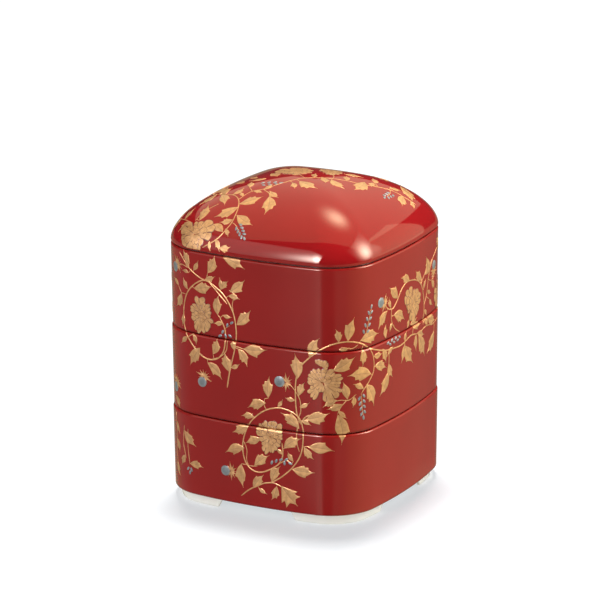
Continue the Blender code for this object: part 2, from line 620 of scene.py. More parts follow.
def straight(first: Point, last: Point, steps: int) -> list[Point]:
    """Give evenly spaced points between two points of a profile, without either of them."""
    shares = np.linspace(0.0, 1.0, steps + 1)[1:-1]
    return [tuple((1.0 - s) * np.array(first) + s * np.array(last)) for s in shares]


def whole_ring(start: int, count: int) -> tuple[int, ...]:
    """Give the points of one ring in order."""
    return tuple(range(start, start + count))


def shell_mesh(name: str, plan: Plan, rings: Sequence[Ring], foot_depth: np.ndarray) -> bpy.types.Mesh:
    """Loft one closed shell through its rings.

    Args:
        name: The mesh's name.
        plan: The outline.
        rings: The rings, in order from one capped end to the other.
        foot_depth: At each station, 1 where a foot stands and near 0 over a gap.

    Returns:
        The mesh, its faces set to the red or the white slot, with an edge attribute.
    """
    along = plan.stations()
    count = len(along)
    points = []
    for ring in rings:
        x, y = plan.point(along, ring.inset)
        height = np.full(count, ring.height)
        if ring.root is not None:
            height = ring.root + (height - ring.root) * foot_depth
        points.append(np.column_stack([x * ring.scale, y * ring.scale, height]))
    faces, bands = [], []
    for level, ring in enumerate(rings[:-1]):
        start = level * count
        for step in range(count):
            after = (step + 1) % count
            faces.append((start + step, start + after, start + count + after, start + count + step))
            bands.append(ring.band.value)
    faces.append(whole_ring(0, count)[::-1])
    faces.append(whole_ring((len(rings) - 1) * count, count))
    bands += [rings[0].band.value, rings[-1].band.value]
    mesh = bpy.data.meshes.new(name)
    mesh.from_pydata(np.concatenate(points), [], faces)
    mesh.polygons.foreach_set("material_index", bands)
    edge = mesh.attributes.new("edge", "FLOAT", "POINT")
    edge.data.foreach_set("value", np.repeat([ring.edge for ring in rings], count))
    return mesh


def stand(name: str, data: bpy.types.ID) -> bpy.types.Object:
    """Put a mesh, a light or a camera in the scene.

    Args:
        name: The object's name.
        data: What it holds.

    Returns:
        The object.
    """
    made = bpy.data.objects.new(name, data)
    bpy.context.scene.collection.objects.link(made)
    return made


def show(mesh: bpy.types.Mesh, name: str, materials: Iterable[bpy.types.Material],
         crease: float = 50.0) -> bpy.types.Object:
    """Put a smooth mesh in the scene.

    Args:
        mesh: The mesh.
        name: Its piece name.
        materials: Its materials, in slot order.
        crease: The angle, in degrees, from which an edge stays sharp.

    Returns:
        The piece.
    """
    mesh.shade_smooth()
    mesh.set_sharp_from_angle(angle=math.radians(crease))
    for material in materials:
        mesh.materials.append(material)
    return stand(name, mesh)


@dataclass(frozen=True)
class Shell:
    """What the trays and the lid share: the node they stand for, their plan and their edges."""

    node: str
    plan: Plan
    wall: float = 6.0 * MM
    edge: float = 0.4 * MM
    edge_start: float = 0.1 * MM

    def dress(self, rings: Sequence[Ring], foot_depth: np.ndarray,
              materials: Sequence[bpy.types.Material]) -> bpy.types.Object:
        """Loft the shell in place of its plain solid.

        Args:
            rings: Its rings, in order.
            foot_depth: At each station, 1 where a foot stands and near 0 over a gap.
            materials: The red glaze and the white porcelain.

        Returns:
            The shell's piece.
        """
        mesh = shell_mesh(self.node, self.plan, rings, foot_depth)
        piece = show(mesh, f"porcelain_{self.node}", materials)
        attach(piece, "root")
        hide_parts(self.node)
        return piece


@dataclass(frozen=True)
class Tray(Shell):
    """One tier: a hollow porcelain tray on four corner feet, with a stepped rim."""

    foot_height: float = 6.4 * MM
    floor_height: float = 11.5 * MM
    recess: float = 0.6 * MM
    taper: float = 0.5 * MM
    lip: float = 3.0 * MM
    lip_radius: float = 1.1 * MM
    heel_radius: float = 0.7 * MM
    heel_shade: float = 0.8 * MM
    foot_inset: float = 3.4 * MM
    foot_inset_low: float = 4.5 * MM
    foot_inner: float = 6.2 * MM
    ledge_depth: float = 6.1 * MM
    fillet: float = 6.0 * MM
    chamfer: float = 0.15 * MM
    root_drop: float = 0.3 * MM
    gap_reach: tuple[float, float] = (22.0 * MM, 26.5 * MM)
    gap_depth: float = 0.97
    wall_steps: int = 14
    inner_steps: int = 8
    cut_shares: tuple[float, ...] = (0.0, 0.35, 0.6, 0.78)
    end_share: float = 0.9

    @property
    def base(self) -> float:
        """Height of the feet's undersides."""
        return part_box(self.node)[0].z

    @property
    def rim(self) -> float:
        """Height of the lip's top."""
        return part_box(self.node)[1].z

    @property
    def heel_centre(self) -> Point:
        """Inset and height of the heel arc's centre."""
        return self.taper + self.heel_radius, self.base + self.foot_height + self.heel_radius

    @property
    def lip_centre(self) -> Point:
        """Inset and height of the lip arc's centre."""
        return self.lip_radius, self.rim - self.lip_radius

    def foot_depth(self) -> np.ndarray:
        """Say where the feet stand.

        Returns:
            At each station, 1 where a foot stands and near 0 over a gap.
        """
        quarter = self.plan.quarter
        off_middle = np.abs((self.plan.stations() + quarter / 2.0) % quarter - quarter / 2.0)
        share = np.clip((off_middle - self.gap_reach[0]) / (self.gap_reach[1] - self.gap_reach[0]), 0.0, 1.0)
        return 1.0 - self.gap_depth + self.gap_depth * share * share * (3.0 - 2.0 * share)

    def underside(self) -> list[Ring]:
        """Draw the underside.

        Returns:
            Rings from its middle to the foot ring's root.
        """
        inset = self.foot_inner + self.edge
        height = self.base + self.foot_height + self.recess
        return [Ring(inset, height, Band.WHITE, scale) for scale in (0.1, 0.4, 0.7, 1.0)]

    def foot(self) -> list[Ring]:
        """Draw the foot ring.

        Returns:
            Rings down its inner face, across its bare bottom and up its outer face.
        """
        inner_root = self.base + self.foot_height + self.recess / 3.0
        outer_root = self.base + self.foot_height - self.root_drop
        low, chamfer = self.foot_inset_low, self.base + self.chamfer
        rings = [Ring(self.foot_inner, self.base + share * self.foot_height, Band.WHITE, root=inner_root)
                 for share in (1.04, 0.72, 0.4, 0.1)]
        rings += [Ring(inset, height, Band.WHITE, root=root, edge=bare) for inset, height, root, bare in (
            (self.foot_inner - self.edge_start, chamfer, inner_root, 0.5),
            (self.foot_inner - self.edge, self.base, inner_root, 1.0),
            (low + self.edge, self.base, outer_root, 1.0),
            (low + self.edge_start, chamfer, outer_root, 0.5))]
        for share, band in ((0.1, Band.WHITE), (0.4, Band.WHITE), (0.65, Band.WHITE), (0.87, Band.RED)):
            inset = low + (self.foot_inset - low) * share
            rings.append(Ring(inset, self.base + share * self.foot_height, band, root=outer_root))
        return rings + [Ring(self.foot_inset, self.base + self.foot_height, Band.RED)]

    def outside(self) -> list[Ring]:
        """Draw the outer face.

        Returns:
            Rings round the heel, up the wall and over the lip.
        """
        heel = bend(self.heel_centre, -self.heel_radius, 90.0, 0.0)
        lip = bend(self.lip_centre, -self.lip_radius, 0.0, -90.0)
        above = (heel[-1][0], heel[-1][1] + self.heel_shade)
        # The heel's rings take edge -1: painted shade in the red, fading out heel_shade above the heel.
        rings = [Ring(inset, height, Band.RED, edge=-1.0) for inset, height in heel]
        rings += [Ring(inset, height, Band.RED) for inset, height in [
            above, *straight(above, lip[0], self.wall_steps)]]
        return rings + [Ring(inset, height, Band.RED, edge=share) for (inset, height), share
                        in zip(lip, np.linspace(0.0, 1.0, len(lip)))]

    def inside(self) -> list[Ring]:
        """Draw the inner face.

        Returns:
            Rings down the stepped rim and the inner wall to the middle of the floor.
        """
        edge, start = self.edge, self.edge_start
        ledge = self.rim - self.ledge_depth
        floor = self.base + self.floor_height
        corner = bend((self.wall + self.fillet, floor + self.fillet), self.fillet, 180.0, 270.0)
        profile = [(self.lip - edge, self.rim), (self.lip - start, self.rim - start),
                   (self.lip, self.rim - edge), (self.lip, ledge + 2.0 * start),
                   (self.lip + start, ledge), (self.wall - edge, ledge),
                   (self.wall - start, ledge - start), (self.wall, ledge - edge)]
        profile += straight(profile[-1], corner[0], self.inner_steps) + corner
        rings = [Ring(inset, height, Band.WHITE) for inset, height in profile]
        return rings + [replace(rings[-1], scale=scale) for scale in (0.75, 0.45, 0.1)]

    def build(self, materials: Sequence[bpy.types.Material]) -> bpy.types.Object:
        """Build the tray from the red glaze and the white porcelain."""
        rings = self.underside() + self.foot() + self.outside() + self.inside()
        return self.dress(rings, self.foot_depth(), materials)

    def lay(self, flat: np.ndarray) -> np.ndarray:
        """Carry flat drawing onto the wall, round the lip and the heel.

        Args:
            flat: Distance round the plan, height over the table and height over the glaze, in mm.

        Returns:
            The points in space.
        """
        along, level, lift = (flat * MM).T
        lip_inset, lip_z = self.lip_centre
        heel_inset, heel_z = self.heel_centre
        over = np.clip((level - lip_z) / self.lip_radius, 0.0, 1.0)
        under = np.clip((heel_z - level) / self.heel_radius, 0.0, 1.0)
        rise = over - under
        run = np.sqrt(1.0 - rise ** 2)
        inset = self.taper * np.clip((lip_z - level) / (lip_z - heel_z), 0.0, 1.0)
        inset = np.where(over > 0.0, lip_inset - self.lip_radius * run, inset)
        inset = np.where(under > 0.0, heel_inset - self.heel_radius * run, inset)
        x, y = self.plan.point(along, inset - lift * run)
        return np.column_stack([x, y, level + lift * rise])

    def cuts(self) -> list[tuple[float, int]]:
        """Say where a drawing is cut to bend round the lip and the heel, and to end there.

        Returns:
            Levels in mm, each with 1 to drop what is above, -1 below and 0 neither.
        """
        cuts = []
        for (_, level), size, side in ((self.lip_centre, self.lip_radius, 1),
                                       (self.heel_centre, self.heel_radius, -1)):
            cuts += [((level + side * share * size) / MM, 0) for share in self.cut_shares]
            cuts.append(((level + side * self.end_share * size) / MM, side))
        return cuts


@dataclass(frozen=True)
class Lid(Shell):
    """Hollow domed lid with a flange that drops into the top rim."""

    seam: float = 0.7 * MM
    edge_radius: float = 1.1 * MM
    dome_rise: float = 33.4 * MM
    inner_rise: float = 30.3 * MM
    power: float = 0.585
    flange_inset: float = 3.4 * MM
    crown_angle: float = 0.02
    dome_rings: int = 48
    inner_rings: int = 30
    arch_steps: int = 360
    arch_levels: int = 25

    @property
    def rim(self) -> float:
        """Height of the underside of the lid's edge."""
        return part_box(TIERS[-1])[1].z + self.seam

    @property
    def dome_base(self) -> float:
        """Height at which the dome leaves the rounded edge."""
        return self.rim + self.edge_radius

    def arch(self, rise: float, angle: np.ndarray) -> np.ndarray:
        """Give the arch's height over its foot at angles down from the crown."""
        return rise * np.cos(angle) ** (2.0 * self.power)

    def dome(self, rise: float, base: float, inset: float, band: Band, steps: int) -> list[Ring]:
        """Draw a dome.

        Args:
            rise: Its height.
            base: The height of its foot.
            inset: How far it is set in from the plan.
            band: Its finish.
            steps: How many rings it has.

        Returns:
            Rings from its crown to its foot.
        """
        angles = np.linspace(self.crown_angle, math.pi / 2.0, steps)
        return [Ring(inset, base + height, band, math.sin(angle))
                for angle, height in zip(angles, self.arch(rise, angles))]

    def build(self, materials: Sequence[bpy.types.Material]) -> bpy.types.Object:
        """Build the lid.

        Args:
            materials: The red glaze and the white porcelain.

        Returns:
            The lid's piece.
        """
        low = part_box(self.node)[0].z
        outer, edge, start = self.flange_inset, self.edge, self.edge_start
        rings = self.dome(self.dome_rise, self.dome_base, 0.0, Band.RED, self.dome_rings)
        rings += [Ring(inset, height, Band.RED, edge=0.5) for inset, height
                  in bend((self.edge_radius, self.dome_base), -self.edge_radius, 0.0, 90.0)[1:]]
        flange = [(outer, self.rim), (outer, low + edge), (outer + start, low + start), (outer + edge, low),
                  (self.wall - edge, low), (self.wall - start, low + start), (self.wall, low + edge)]
        rings += [Ring(inset, height, Band.WHITE) for inset, height in flange]
        rings += reversed(self.dome(self.inner_rise, self.rim, self.wall, Band.WHITE, self.inner_rings))
        return self.dress(rings, np.ones(len(self.plan.stations())), materials)

    def on_dome(self, angle: np.ndarray, heading: np.ndarray) -> np.ndarray:
        """Find points on the dome.

        Args:
            angle: Angles down its arch.
            heading: Directions from +X.

        Returns:
            The points in space.
        """
        run = self.plan.reach(heading) * np.sin(angle)
        height = self.dome_base + self.arch(self.dome_rise, angle)
        return np.column_stack([run * np.cos(heading), run * np.sin(heading), height])

    def arch_angle(self, travel: np.ndarray, reach: np.ndarray) -> np.ndarray:
        """Find how far down the arch a distance over the dome leads.

        Args:
            travel: Distances from the crown, over the surface.
            reach: The plan's reach in each one's direction.

        Returns:
            The angles down the arch.
        """
        angles = np.linspace(0.0, math.pi / 2.0, self.arch_steps + 1)
        arch = self.arch(self.dome_rise, angles)
        nearest, farthest = self.plan.half_width, self.plan.reach(np.array(math.pi / 4.0))
        margin = 0.01
        levels = np.linspace(nearest * (1.0 - margin), farthest * (1.0 + margin), self.arch_levels)
        found = []
        for level in levels:
            run = level * np.sin(angles)
            length = np.concatenate([[0.0], np.cumsum(np.hypot(np.diff(run), np.diff(arch)))])
            found.append(np.interp(travel, length, angles))
        place = np.interp(reach, levels, np.arange(len(levels)))
        lower = np.clip(place.astype(int), 0, len(levels) - 2)
        share = place - lower
        stack, pick = np.array(found), np.arange(len(travel))
        return (1.0 - share) * stack[lower, pick] + share * stack[lower + 1, pick]

    def lay(self, flat: np.ndarray) -> np.ndarray:
        """Carry flat drawing onto the dome.

        Distances from the crown are kept along each meridian, and directions are kept as they are.

        Args:
            flat: Distance to the right of the crown, distance behind it and height, in mm.

        Returns:
            The points in space.
        """
        right, behind, lift = (flat * MM).T
        heading = np.arctan2(behind, right)
        angle = self.arch_angle(np.hypot(right, behind), self.plan.reach(heading))
        step, least = 1.0e-4, 0.01
        down = self.on_dome(np.minimum(angle + step, math.pi / 2.0), heading)
        up = self.on_dome(np.maximum(angle - step, 0.0), heading)
        sideways = self.on_dome(np.maximum(angle, least), heading + step)
        sideways -= self.on_dome(np.maximum(angle, least), heading - step)
        normal = np.cross(down - up, sideways)
        normal /= np.linalg.norm(normal, axis=1)[:, None]
        return self.on_dome(angle, heading) + normal * lift[:, None]

    def cuts(self) -> list[tuple[float, int]]:
        """The dome's drawing stays inside its rim, so nothing is cut."""
        return []


# Painted shapes -----------------------------------------------------------------------------

# Height of a shape's underside, just below the glaze, and the gap between samples of a line, in mm.
BURY = -0.06
SAMPLE_GAP = 0.9
STEM_COLUMNS = np.array([-1.0, -0.6, 0.0, 0.6, 1.0])
STEM_HEIGHTS = np.array([0.25, 0.85, 1.0, 0.85, 0.25])
BLADE_COLUMNS = np.array([-1.0, -0.86, -0.5, -0.12, 0.0, 0.12, 0.5, 0.86, 1.0])
BLADE_HEIGHTS = np.array([0.3, 0.9, 1.0, 0.95, 0.72, 0.95, 1.0, 0.9, 0.3])
TOOTH_STEP = 0.05


@dataclass(frozen=True)
class Patch:
    """One closed raised shape, drawn flat: points in mm, faces, and how much is drawn line."""

    points: np.ndarray
    faces: list[tuple[int, ...]]
    line: np.ndarray


def patch(grid: np.ndarray, lift: np.ndarray, line: np.ndarray | None = None,
          arched: bool = False) -> Patch:
    """Close a sheet of points into a thin solid whose underside is below the glaze.

    Args:
        grid: Rows and columns of flat points; a row runs from the left edge to the right edge.
        lift: Height over the glaze of each point.
        line: How much of each point is drawn line, or None.
        arched: True where the last row is far from straight, as on a petal.

    Returns:
        The closed shape.
    """
    rows, columns = grid.shape[:2]
    far, last = rows - 1, columns - 1
    top = np.dstack([grid, lift]).reshape(-1, 3)
    places = [(r, c) for r in range(rows) for c in (0, last)]
    if arched:
        places += [(far, c) for c in range(1, last)]
    below = {place: len(top) + index for index, place in enumerate(places)}
    bottom = np.array([(*grid[place], BURY) for place in places])

    def above(r: int, c: int) -> int:
        """Number the top point at a row and a column."""
        return r * columns + c

    def skirt(r: int, c: int, r_next: int, c_next: int) -> tuple[int, ...]:
        """Give the side face between two neighbours on the outline."""
        return above(r, c), below[r, c], below[r_next, c_next], above(r_next, c_next)

    faces = []
    for r in range(far):
        for c in range(last):
            faces.append((above(r, c), above(r, c + 1), above(r + 1, c + 1), above(r + 1, c)))
        faces.append(skirt(r + 1, 0, r, 0))
        faces.append(skirt(r, last, r + 1, last))
        faces.append((below[r, 0], below[r + 1, 0], below[r + 1, last], below[r, last]))
    faces.append(skirt(0, 0, 0, last) + tuple(above(0, c) for c in range(last - 1, 0, -1)))
    if arched:
        faces += [skirt(far, c, far, c - 1) for c in range(last, 0, -1)]
        faces.append(tuple(below[far, c] for c in range(columns)))
    else:
        faces.append(skirt(far, last, far, 0) + tuple(above(far, c) for c in range(1, last)))
    drawn = np.zeros(len(top)) if line is None else line.reshape(-1)
    return Patch(np.vstack([top, bottom]), faces, np.concatenate([drawn, np.zeros(len(bottom))]))


def along_curve(points: Sequence[Point]) -> np.ndarray:
    """Sample a smooth curve through given points.

    Args:
        points: The points, in mm.

    Returns:
        The samples, one to a row.
    """
    given = np.array(points, float)
    padded = np.vstack([2.0 * given[0] - given[1], given, 2.0 * given[-1] - given[-2]])
    pieces = []
    for before, start, end, after in zip(padded, padded[1:], padded[2:], padded[3:]):
        steps = max(2, round(float(np.linalg.norm(end - start)) / SAMPLE_GAP))
        t = np.linspace(0.0, 1.0, steps, endpoint=False)[:, None]
        pieces.append(0.5 * (2.0 * start + (end - before) * t
                             + (2.0 * before - 5.0 * start + 4.0 * end - after) * t ** 2
                             + (3.0 * start - before - 3.0 * end + after) * t ** 3))
    return np.vstack([*pieces, given[-1:]])


def sides_of(spine: np.ndarray) -> tuple[np.ndarray, np.ndarray]:
    """Find the directions at each point of a curve.

    Args:
        spine: The curve's points.

    Returns:
        Unit directions along the curve and to its right.
    """
    ahead = np.gradient(spine, axis=0)
    ahead /= np.linalg.norm(ahead, axis=1)[:, None]
    return ahead, np.column_stack([ahead[:, 1], -ahead[:, 0]])


def polar(centre: Point, reach: float, angle: float) -> Point:
    """Find the place at a distance and a direction, in radians, from a centre."""
    return centre[0] + reach * math.cos(angle), centre[1] + reach * math.sin(angle)


def stem(points: Sequence[Point], width: float, thick: float = 0.13) -> Patch:
    """Draw a vine, twig or leaf stalk: a rounded line that tapers at both ends.

    Args:
        points: The route, in mm.
        width: Its full width.
        thick: Its height over the glaze.

    Returns:
        The closed shape.
    """
    tip_share, taper = 0.35, 2.2
    spine = along_curve(points)
    _, right = sides_of(spine)
    travel = np.concatenate([[0.0], np.cumsum(np.linalg.norm(np.diff(spine, axis=0), axis=1))])
    from_end = np.minimum(travel, travel[-1] - travel)
    half = width / 2.0 * np.clip(tip_share + from_end / taper, 0.0, 1.0)
    grid = spine[:, None, :] + right[:, None, :] * (half[:, None] * STEM_COLUMNS)[:, :, None]
    return patch(grid, np.tile(thick * STEM_HEIGHTS, (len(spine), 1)))


class Leaf(Enum):
    """Kinds of leaf: breadth as a share of length, and its teeth on each side.

    A tooth is its place along the blade and its depth as a share of the half breadth.
    """

    RAY = (0.22, (), ())
    SLIM = (0.4, (), ())
    ONE = (0.42, ((0.52, 0.36),), ())
    OTHER = (0.42, ((0.66, 0.18),), ((0.44, 0.36),))
    TWO = (0.42, ((0.44, 0.3), (0.64, 0.3)), ((0.54, 0.34),))
    THREE = (0.44, ((0.4, 0.28), (0.62, 0.36)), ((0.48, 0.24),))
    FOUR = (0.44, ((0.54, 0.2),), ((0.38, 0.3), (0.6, 0.4)))
    LOBED = (0.58, ((0.36, 0.5), (0.62, 0.7)), ((0.34, 0.48), (0.58, 0.7)))

    @property
    def breadth(self) -> float:
        """Breadth as a share of length."""
        return self.value[0]

    def half_width(self, share: np.ndarray, side: int) -> np.ndarray:
        """Find the half breadth along the blade, 1 at its widest before the teeth are added.

        Args:
            share: Places from the base, 0, to the tip, 1.
            side: 0 for the left edge and 1 for the right.

        Returns:
            The half breadth at each place.
        """
        peak, rise, swell_length = 0.35, 1.2, 0.2
        fall = rise * (1.0 - peak) / peak
        body = (share / peak) ** rise * ((1.0 - share) / (1.0 - peak)) ** fall
        for place, depth in self.value[1 + side]:
            swell = np.clip((share - place + swell_length) / swell_length, 0.0, 1.0) ** 2.0
            fade = np.clip(1.0 - (share - place) / TOOTH_STEP, 0.0, 1.0)
            body = body + depth * np.where(share <= place, swell, fade)
        return body

    def places(self) -> np.ndarray:
        """Choose the places along the blade that its outline needs.

        Returns:
            The places, from the base, 0, to the tip, 1.
        """
        even = np.concatenate([[0.0, 0.02, 0.06, 0.12], np.linspace(0.2, 0.94, 12), [0.98, 1.0]])
        teeth = [place + step for side in self.value[1:] for place, _ in side for step in (0.0, TOOTH_STEP)]
        return np.unique(np.concatenate([even, teeth]))


SMALL_KINDS = (Leaf.SLIM, Leaf.ONE, Leaf.SLIM, Leaf.OTHER)
BROAD_KINDS = (Leaf.THREE, Leaf.TWO, Leaf.OTHER, Leaf.FOUR, Leaf.ONE)
LEAF_BOWS = (0.07, -0.05, 0.04, -0.08)


def leaf(base: Point, tip: Point, kind: Leaf, bow: float, thick: float = 0.14) -> Patch:
    """Draw one leaf with forward teeth and a sunk midrib.

    Args:
        base: Where the blade leaves its stalk, in mm.
        tip: Its point.
        kind: The shape of its edges.
        bow: How far its middle bends to the right, as a share of its length.
        thick: Its height over the glaze.

    Returns:
        The closed shape.
    """
    least, lean, half_tone, midrib = 0.07, 0.42, 0.44, 0.55
    start, end = np.array(base, float), np.array(tip, float)
    length = float(np.linalg.norm(end - start))
    ahead = (end - start) / length
    right = np.array([ahead[1], -ahead[0]])
    share = kind.places()
    arch = 4.0 * bow * share * (1.0 - share)
    spine = start + length * (share[:, None] * ahead + arch[:, None] * right)
    forward, outward = sides_of(spine)
    half = kind.breadth * length / 2.0
    edges = [np.maximum(half * kind.half_width(share, side), least)[:, None] for side in (0, 1)]
    across = np.where(BLADE_COLUMNS < 0.0, *edges) * BLADE_COLUMNS
    grid = spine[:, None, :] + outward[:, None, :] * across[:, :, None]
    grid = grid + forward[:, None, :] * (lean * np.abs(across))[:, :, None]
    grid[-1] = spine[-1] + outward[-1] * across[-1][:, None]
    lift = np.tile(thick * BLADE_HEIGHTS, (len(share), 1))
    line = np.zeros(lift.shape)
    line[2:-2, 1:4] = half_tone
    line[:-2, 4] = midrib
    return patch(grid, lift, line)


@dataclass(frozen=True)
class Petal:
    """One petal of a peony: direction, length, half angle, scallops and offset of its point.

    It is a fan with a scalloped edge, a drawn outline and a drawn cleft between scallops.
    """

    heading: float
    reach: float
    spread: float
    lobes: int = 2
    offset: Point = (0.0, 0.0)

    def shape(self, centre: Point, size: float, layer: int) -> Patch:
        """Draw the petal.

        Args:
            centre: The flower's middle, in mm.
            size: The flower's size.
            layer: How many petals this one overlies.

        Returns:
            The closed shape.
        """
        notch, shoulder, ripple, waver = 0.15, 0.14, 0.06, 0.12
        rim, columns = 0.94, 8 * self.lobes + 1
        reach, phase = size * self.reach, math.radians(3.0 * self.heading)
        side = np.array([1.0, *np.linspace(rim, -rim, columns), -1.0])
        warped = side + waver * np.sin(2.6 * side + phase) * (1.0 - side ** 2)
        outline = reach * (1.0 - shoulder * side ** 2) * (1.0 + ripple * np.sin(4.0 * side + phase))
        scallop = np.abs(np.sin(math.pi * self.lobes * (warped + 1.0) / 2.0)) ** 0.6
        outline *= 1.0 - notch + notch * scallop
        border = min(0.26, 0.42 / reach)
        depth = np.array([0.14, 0.4, 0.62, 0.81 - 0.5 * border, 1.0 - border, 1.0 - 0.35 * border, 1.0])
        base = np.array(centre, float) + size * np.array(self.offset)
        angle = np.radians(self.heading + self.spread * side)
        ray = np.column_stack([np.cos(angle), np.sin(angle)])
        grid = base + depth[:, None, None] * (outline[:, None] * ray)[None, :, :]
        return patch(grid, self.lift(len(side), layer), self.line(warped), arched=True)

    def lift(self, columns: int, layer: int) -> np.ndarray:
        """Raise the petal as a shallow bowl over the ones before it.

        Args:
            columns: How many points each row of the fan has.
            layer: How many petals this one overlies.

        Returns:
            The height over the glaze of each point.
        """
        lowest, step, depth, side_share = 0.05, 0.045, 0.12, 0.55
        bowl = np.array([0.6, 0.75, 0.9, 1.0, 1.0, 0.85, 0.35])
        lift = lowest + step * layer + depth * bowl[:, None] * np.ones(columns)
        lift[:, (0, -1)] *= side_share
        return lift

    def line(self, warped: np.ndarray) -> np.ndarray:
        """Draw the petal's shaded root, streaks, outline and clefts.

        Args:
            warped: The place of each column across the fan, from 1 to -1.

        Returns:
            How much of each point is drawn line.
        """
        rows, root, streak, border, cleft_tone = 7, 0.45, 0.52, 0.8, 0.9
        line = np.zeros((rows, len(warped)))
        line[:2] = root
        line[1:4, 4:-4:3] = streak
        line[-2:] = ((border,), (1.0,))
        line[2:, (0, 1, -2, -1)] = 1.0
        for lobe in range(1, self.lobes):
            cleft = int(np.argmin(np.abs(warped + 1.0 - 2.0 * lobe / self.lobes)))
            line[3:, cleft] = cleft_tone
        return line


@dataclass(frozen=True)
class Peony:
    """Open peony: petals painted in order, each over the ones before it."""

    place: Point
    petals: tuple[Petal, ...]
    size: float = 1.0

    def shapes(self) -> list[Patch]:
        """Draw all petals."""
        return [petal.shape(self.place, self.size, index // 2) for index, petal in enumerate(self.petals)]


def oval(centre: Point, heading: float, length: float, breadth: float, thick: float,
         fill: float = 0.0) -> Patch:
    """Draw a rounded pad such as a berry or a bud.

    Args:
        centre: Its middle, in mm.
        heading: The direction of its length, in degrees from the right.
        length: Its length.
        breadth: Its breadth.
        thick: Its height over the glaze.
        fill: How far the whole pad is darkened towards the drawn line, 0 to 1.

    Returns:
        The closed shape.
    """
    blunt, rim_share, rows, columns = 0.06, 0.2, 13, 9
    turn = np.linspace(blunt, math.pi - blunt, rows)
    along = np.array([math.cos(math.radians(heading)), math.sin(math.radians(heading))])
    right = np.array([along[1], -along[0]])
    across = np.sin(np.linspace(-math.pi / 2.0, math.pi / 2.0, columns))
    spine = np.array(centre, float) - length / 2.0 * np.cos(turn)[:, None] * along
    half = breadth / 2.0 * np.sin(turn)
    grid = spine[:, None, :] + right * (half[:, None] * across)[:, :, None]
    from_middle = np.sqrt(np.cos(turn)[:, None] ** 2 + (np.sin(turn)[:, None] * across) ** 2)
    dome = np.sqrt(np.clip(1.0 - from_middle ** 2, 0.0, 1.0))
    lift = thick * (rim_share + (1.0 - rim_share) * dome)
    return patch(grid, lift, np.full(lift.shape, fill))


@dataclass(frozen=True)
class Bud:
    """Round silver-blue bud with a star of gold calyx points beside it."""

    place: Point
    heading: float
    radius: float = 3.0
    points: tuple[float, ...] = (4.0, 5.6, 4.4, 4.0, 3.6, 4.2, 4.6, 5.8, 4.0)
    point_turn: float = 31.0
    point_height: float = 0.17
    root_share: float = 1.3
    ring_share: float = 0.72
    ring_tone: float = 0.5
    heights: tuple[float, float] = (0.3, 0.42)

    def disc(self) -> list[Patch]:
        """Draw the bud's disc and the smaller drawn ring on it.

        Returns:
            Both shapes.
        """
        disc, ring = 2.0 * self.radius, 2.0 * self.radius * self.ring_share
        return [oval(self.place, self.heading, disc, disc, self.heights[0]),
                oval(self.place, self.heading, ring, ring, self.heights[1], self.ring_tone)]

    def calyx(self) -> list[Patch]:
        """Draw the pointed leaves that spring from beside the disc.

        Returns:
            One shape for each point.
        """
        angle = math.radians(self.heading)
        root = polar(self.place, self.root_share * self.radius, angle)
        middle = len(self.points) // 2
        turns = [math.radians(self.point_turn * (step - middle)) for step in range(len(self.points))]
        return [leaf(root, polar(root, reach, angle + turn), Leaf.RAY, 0.0, self.point_height)
                for reach, turn in zip(self.points, turns)]


Blade = tuple[float, float, float, float]
Berry = tuple[float, float, float]


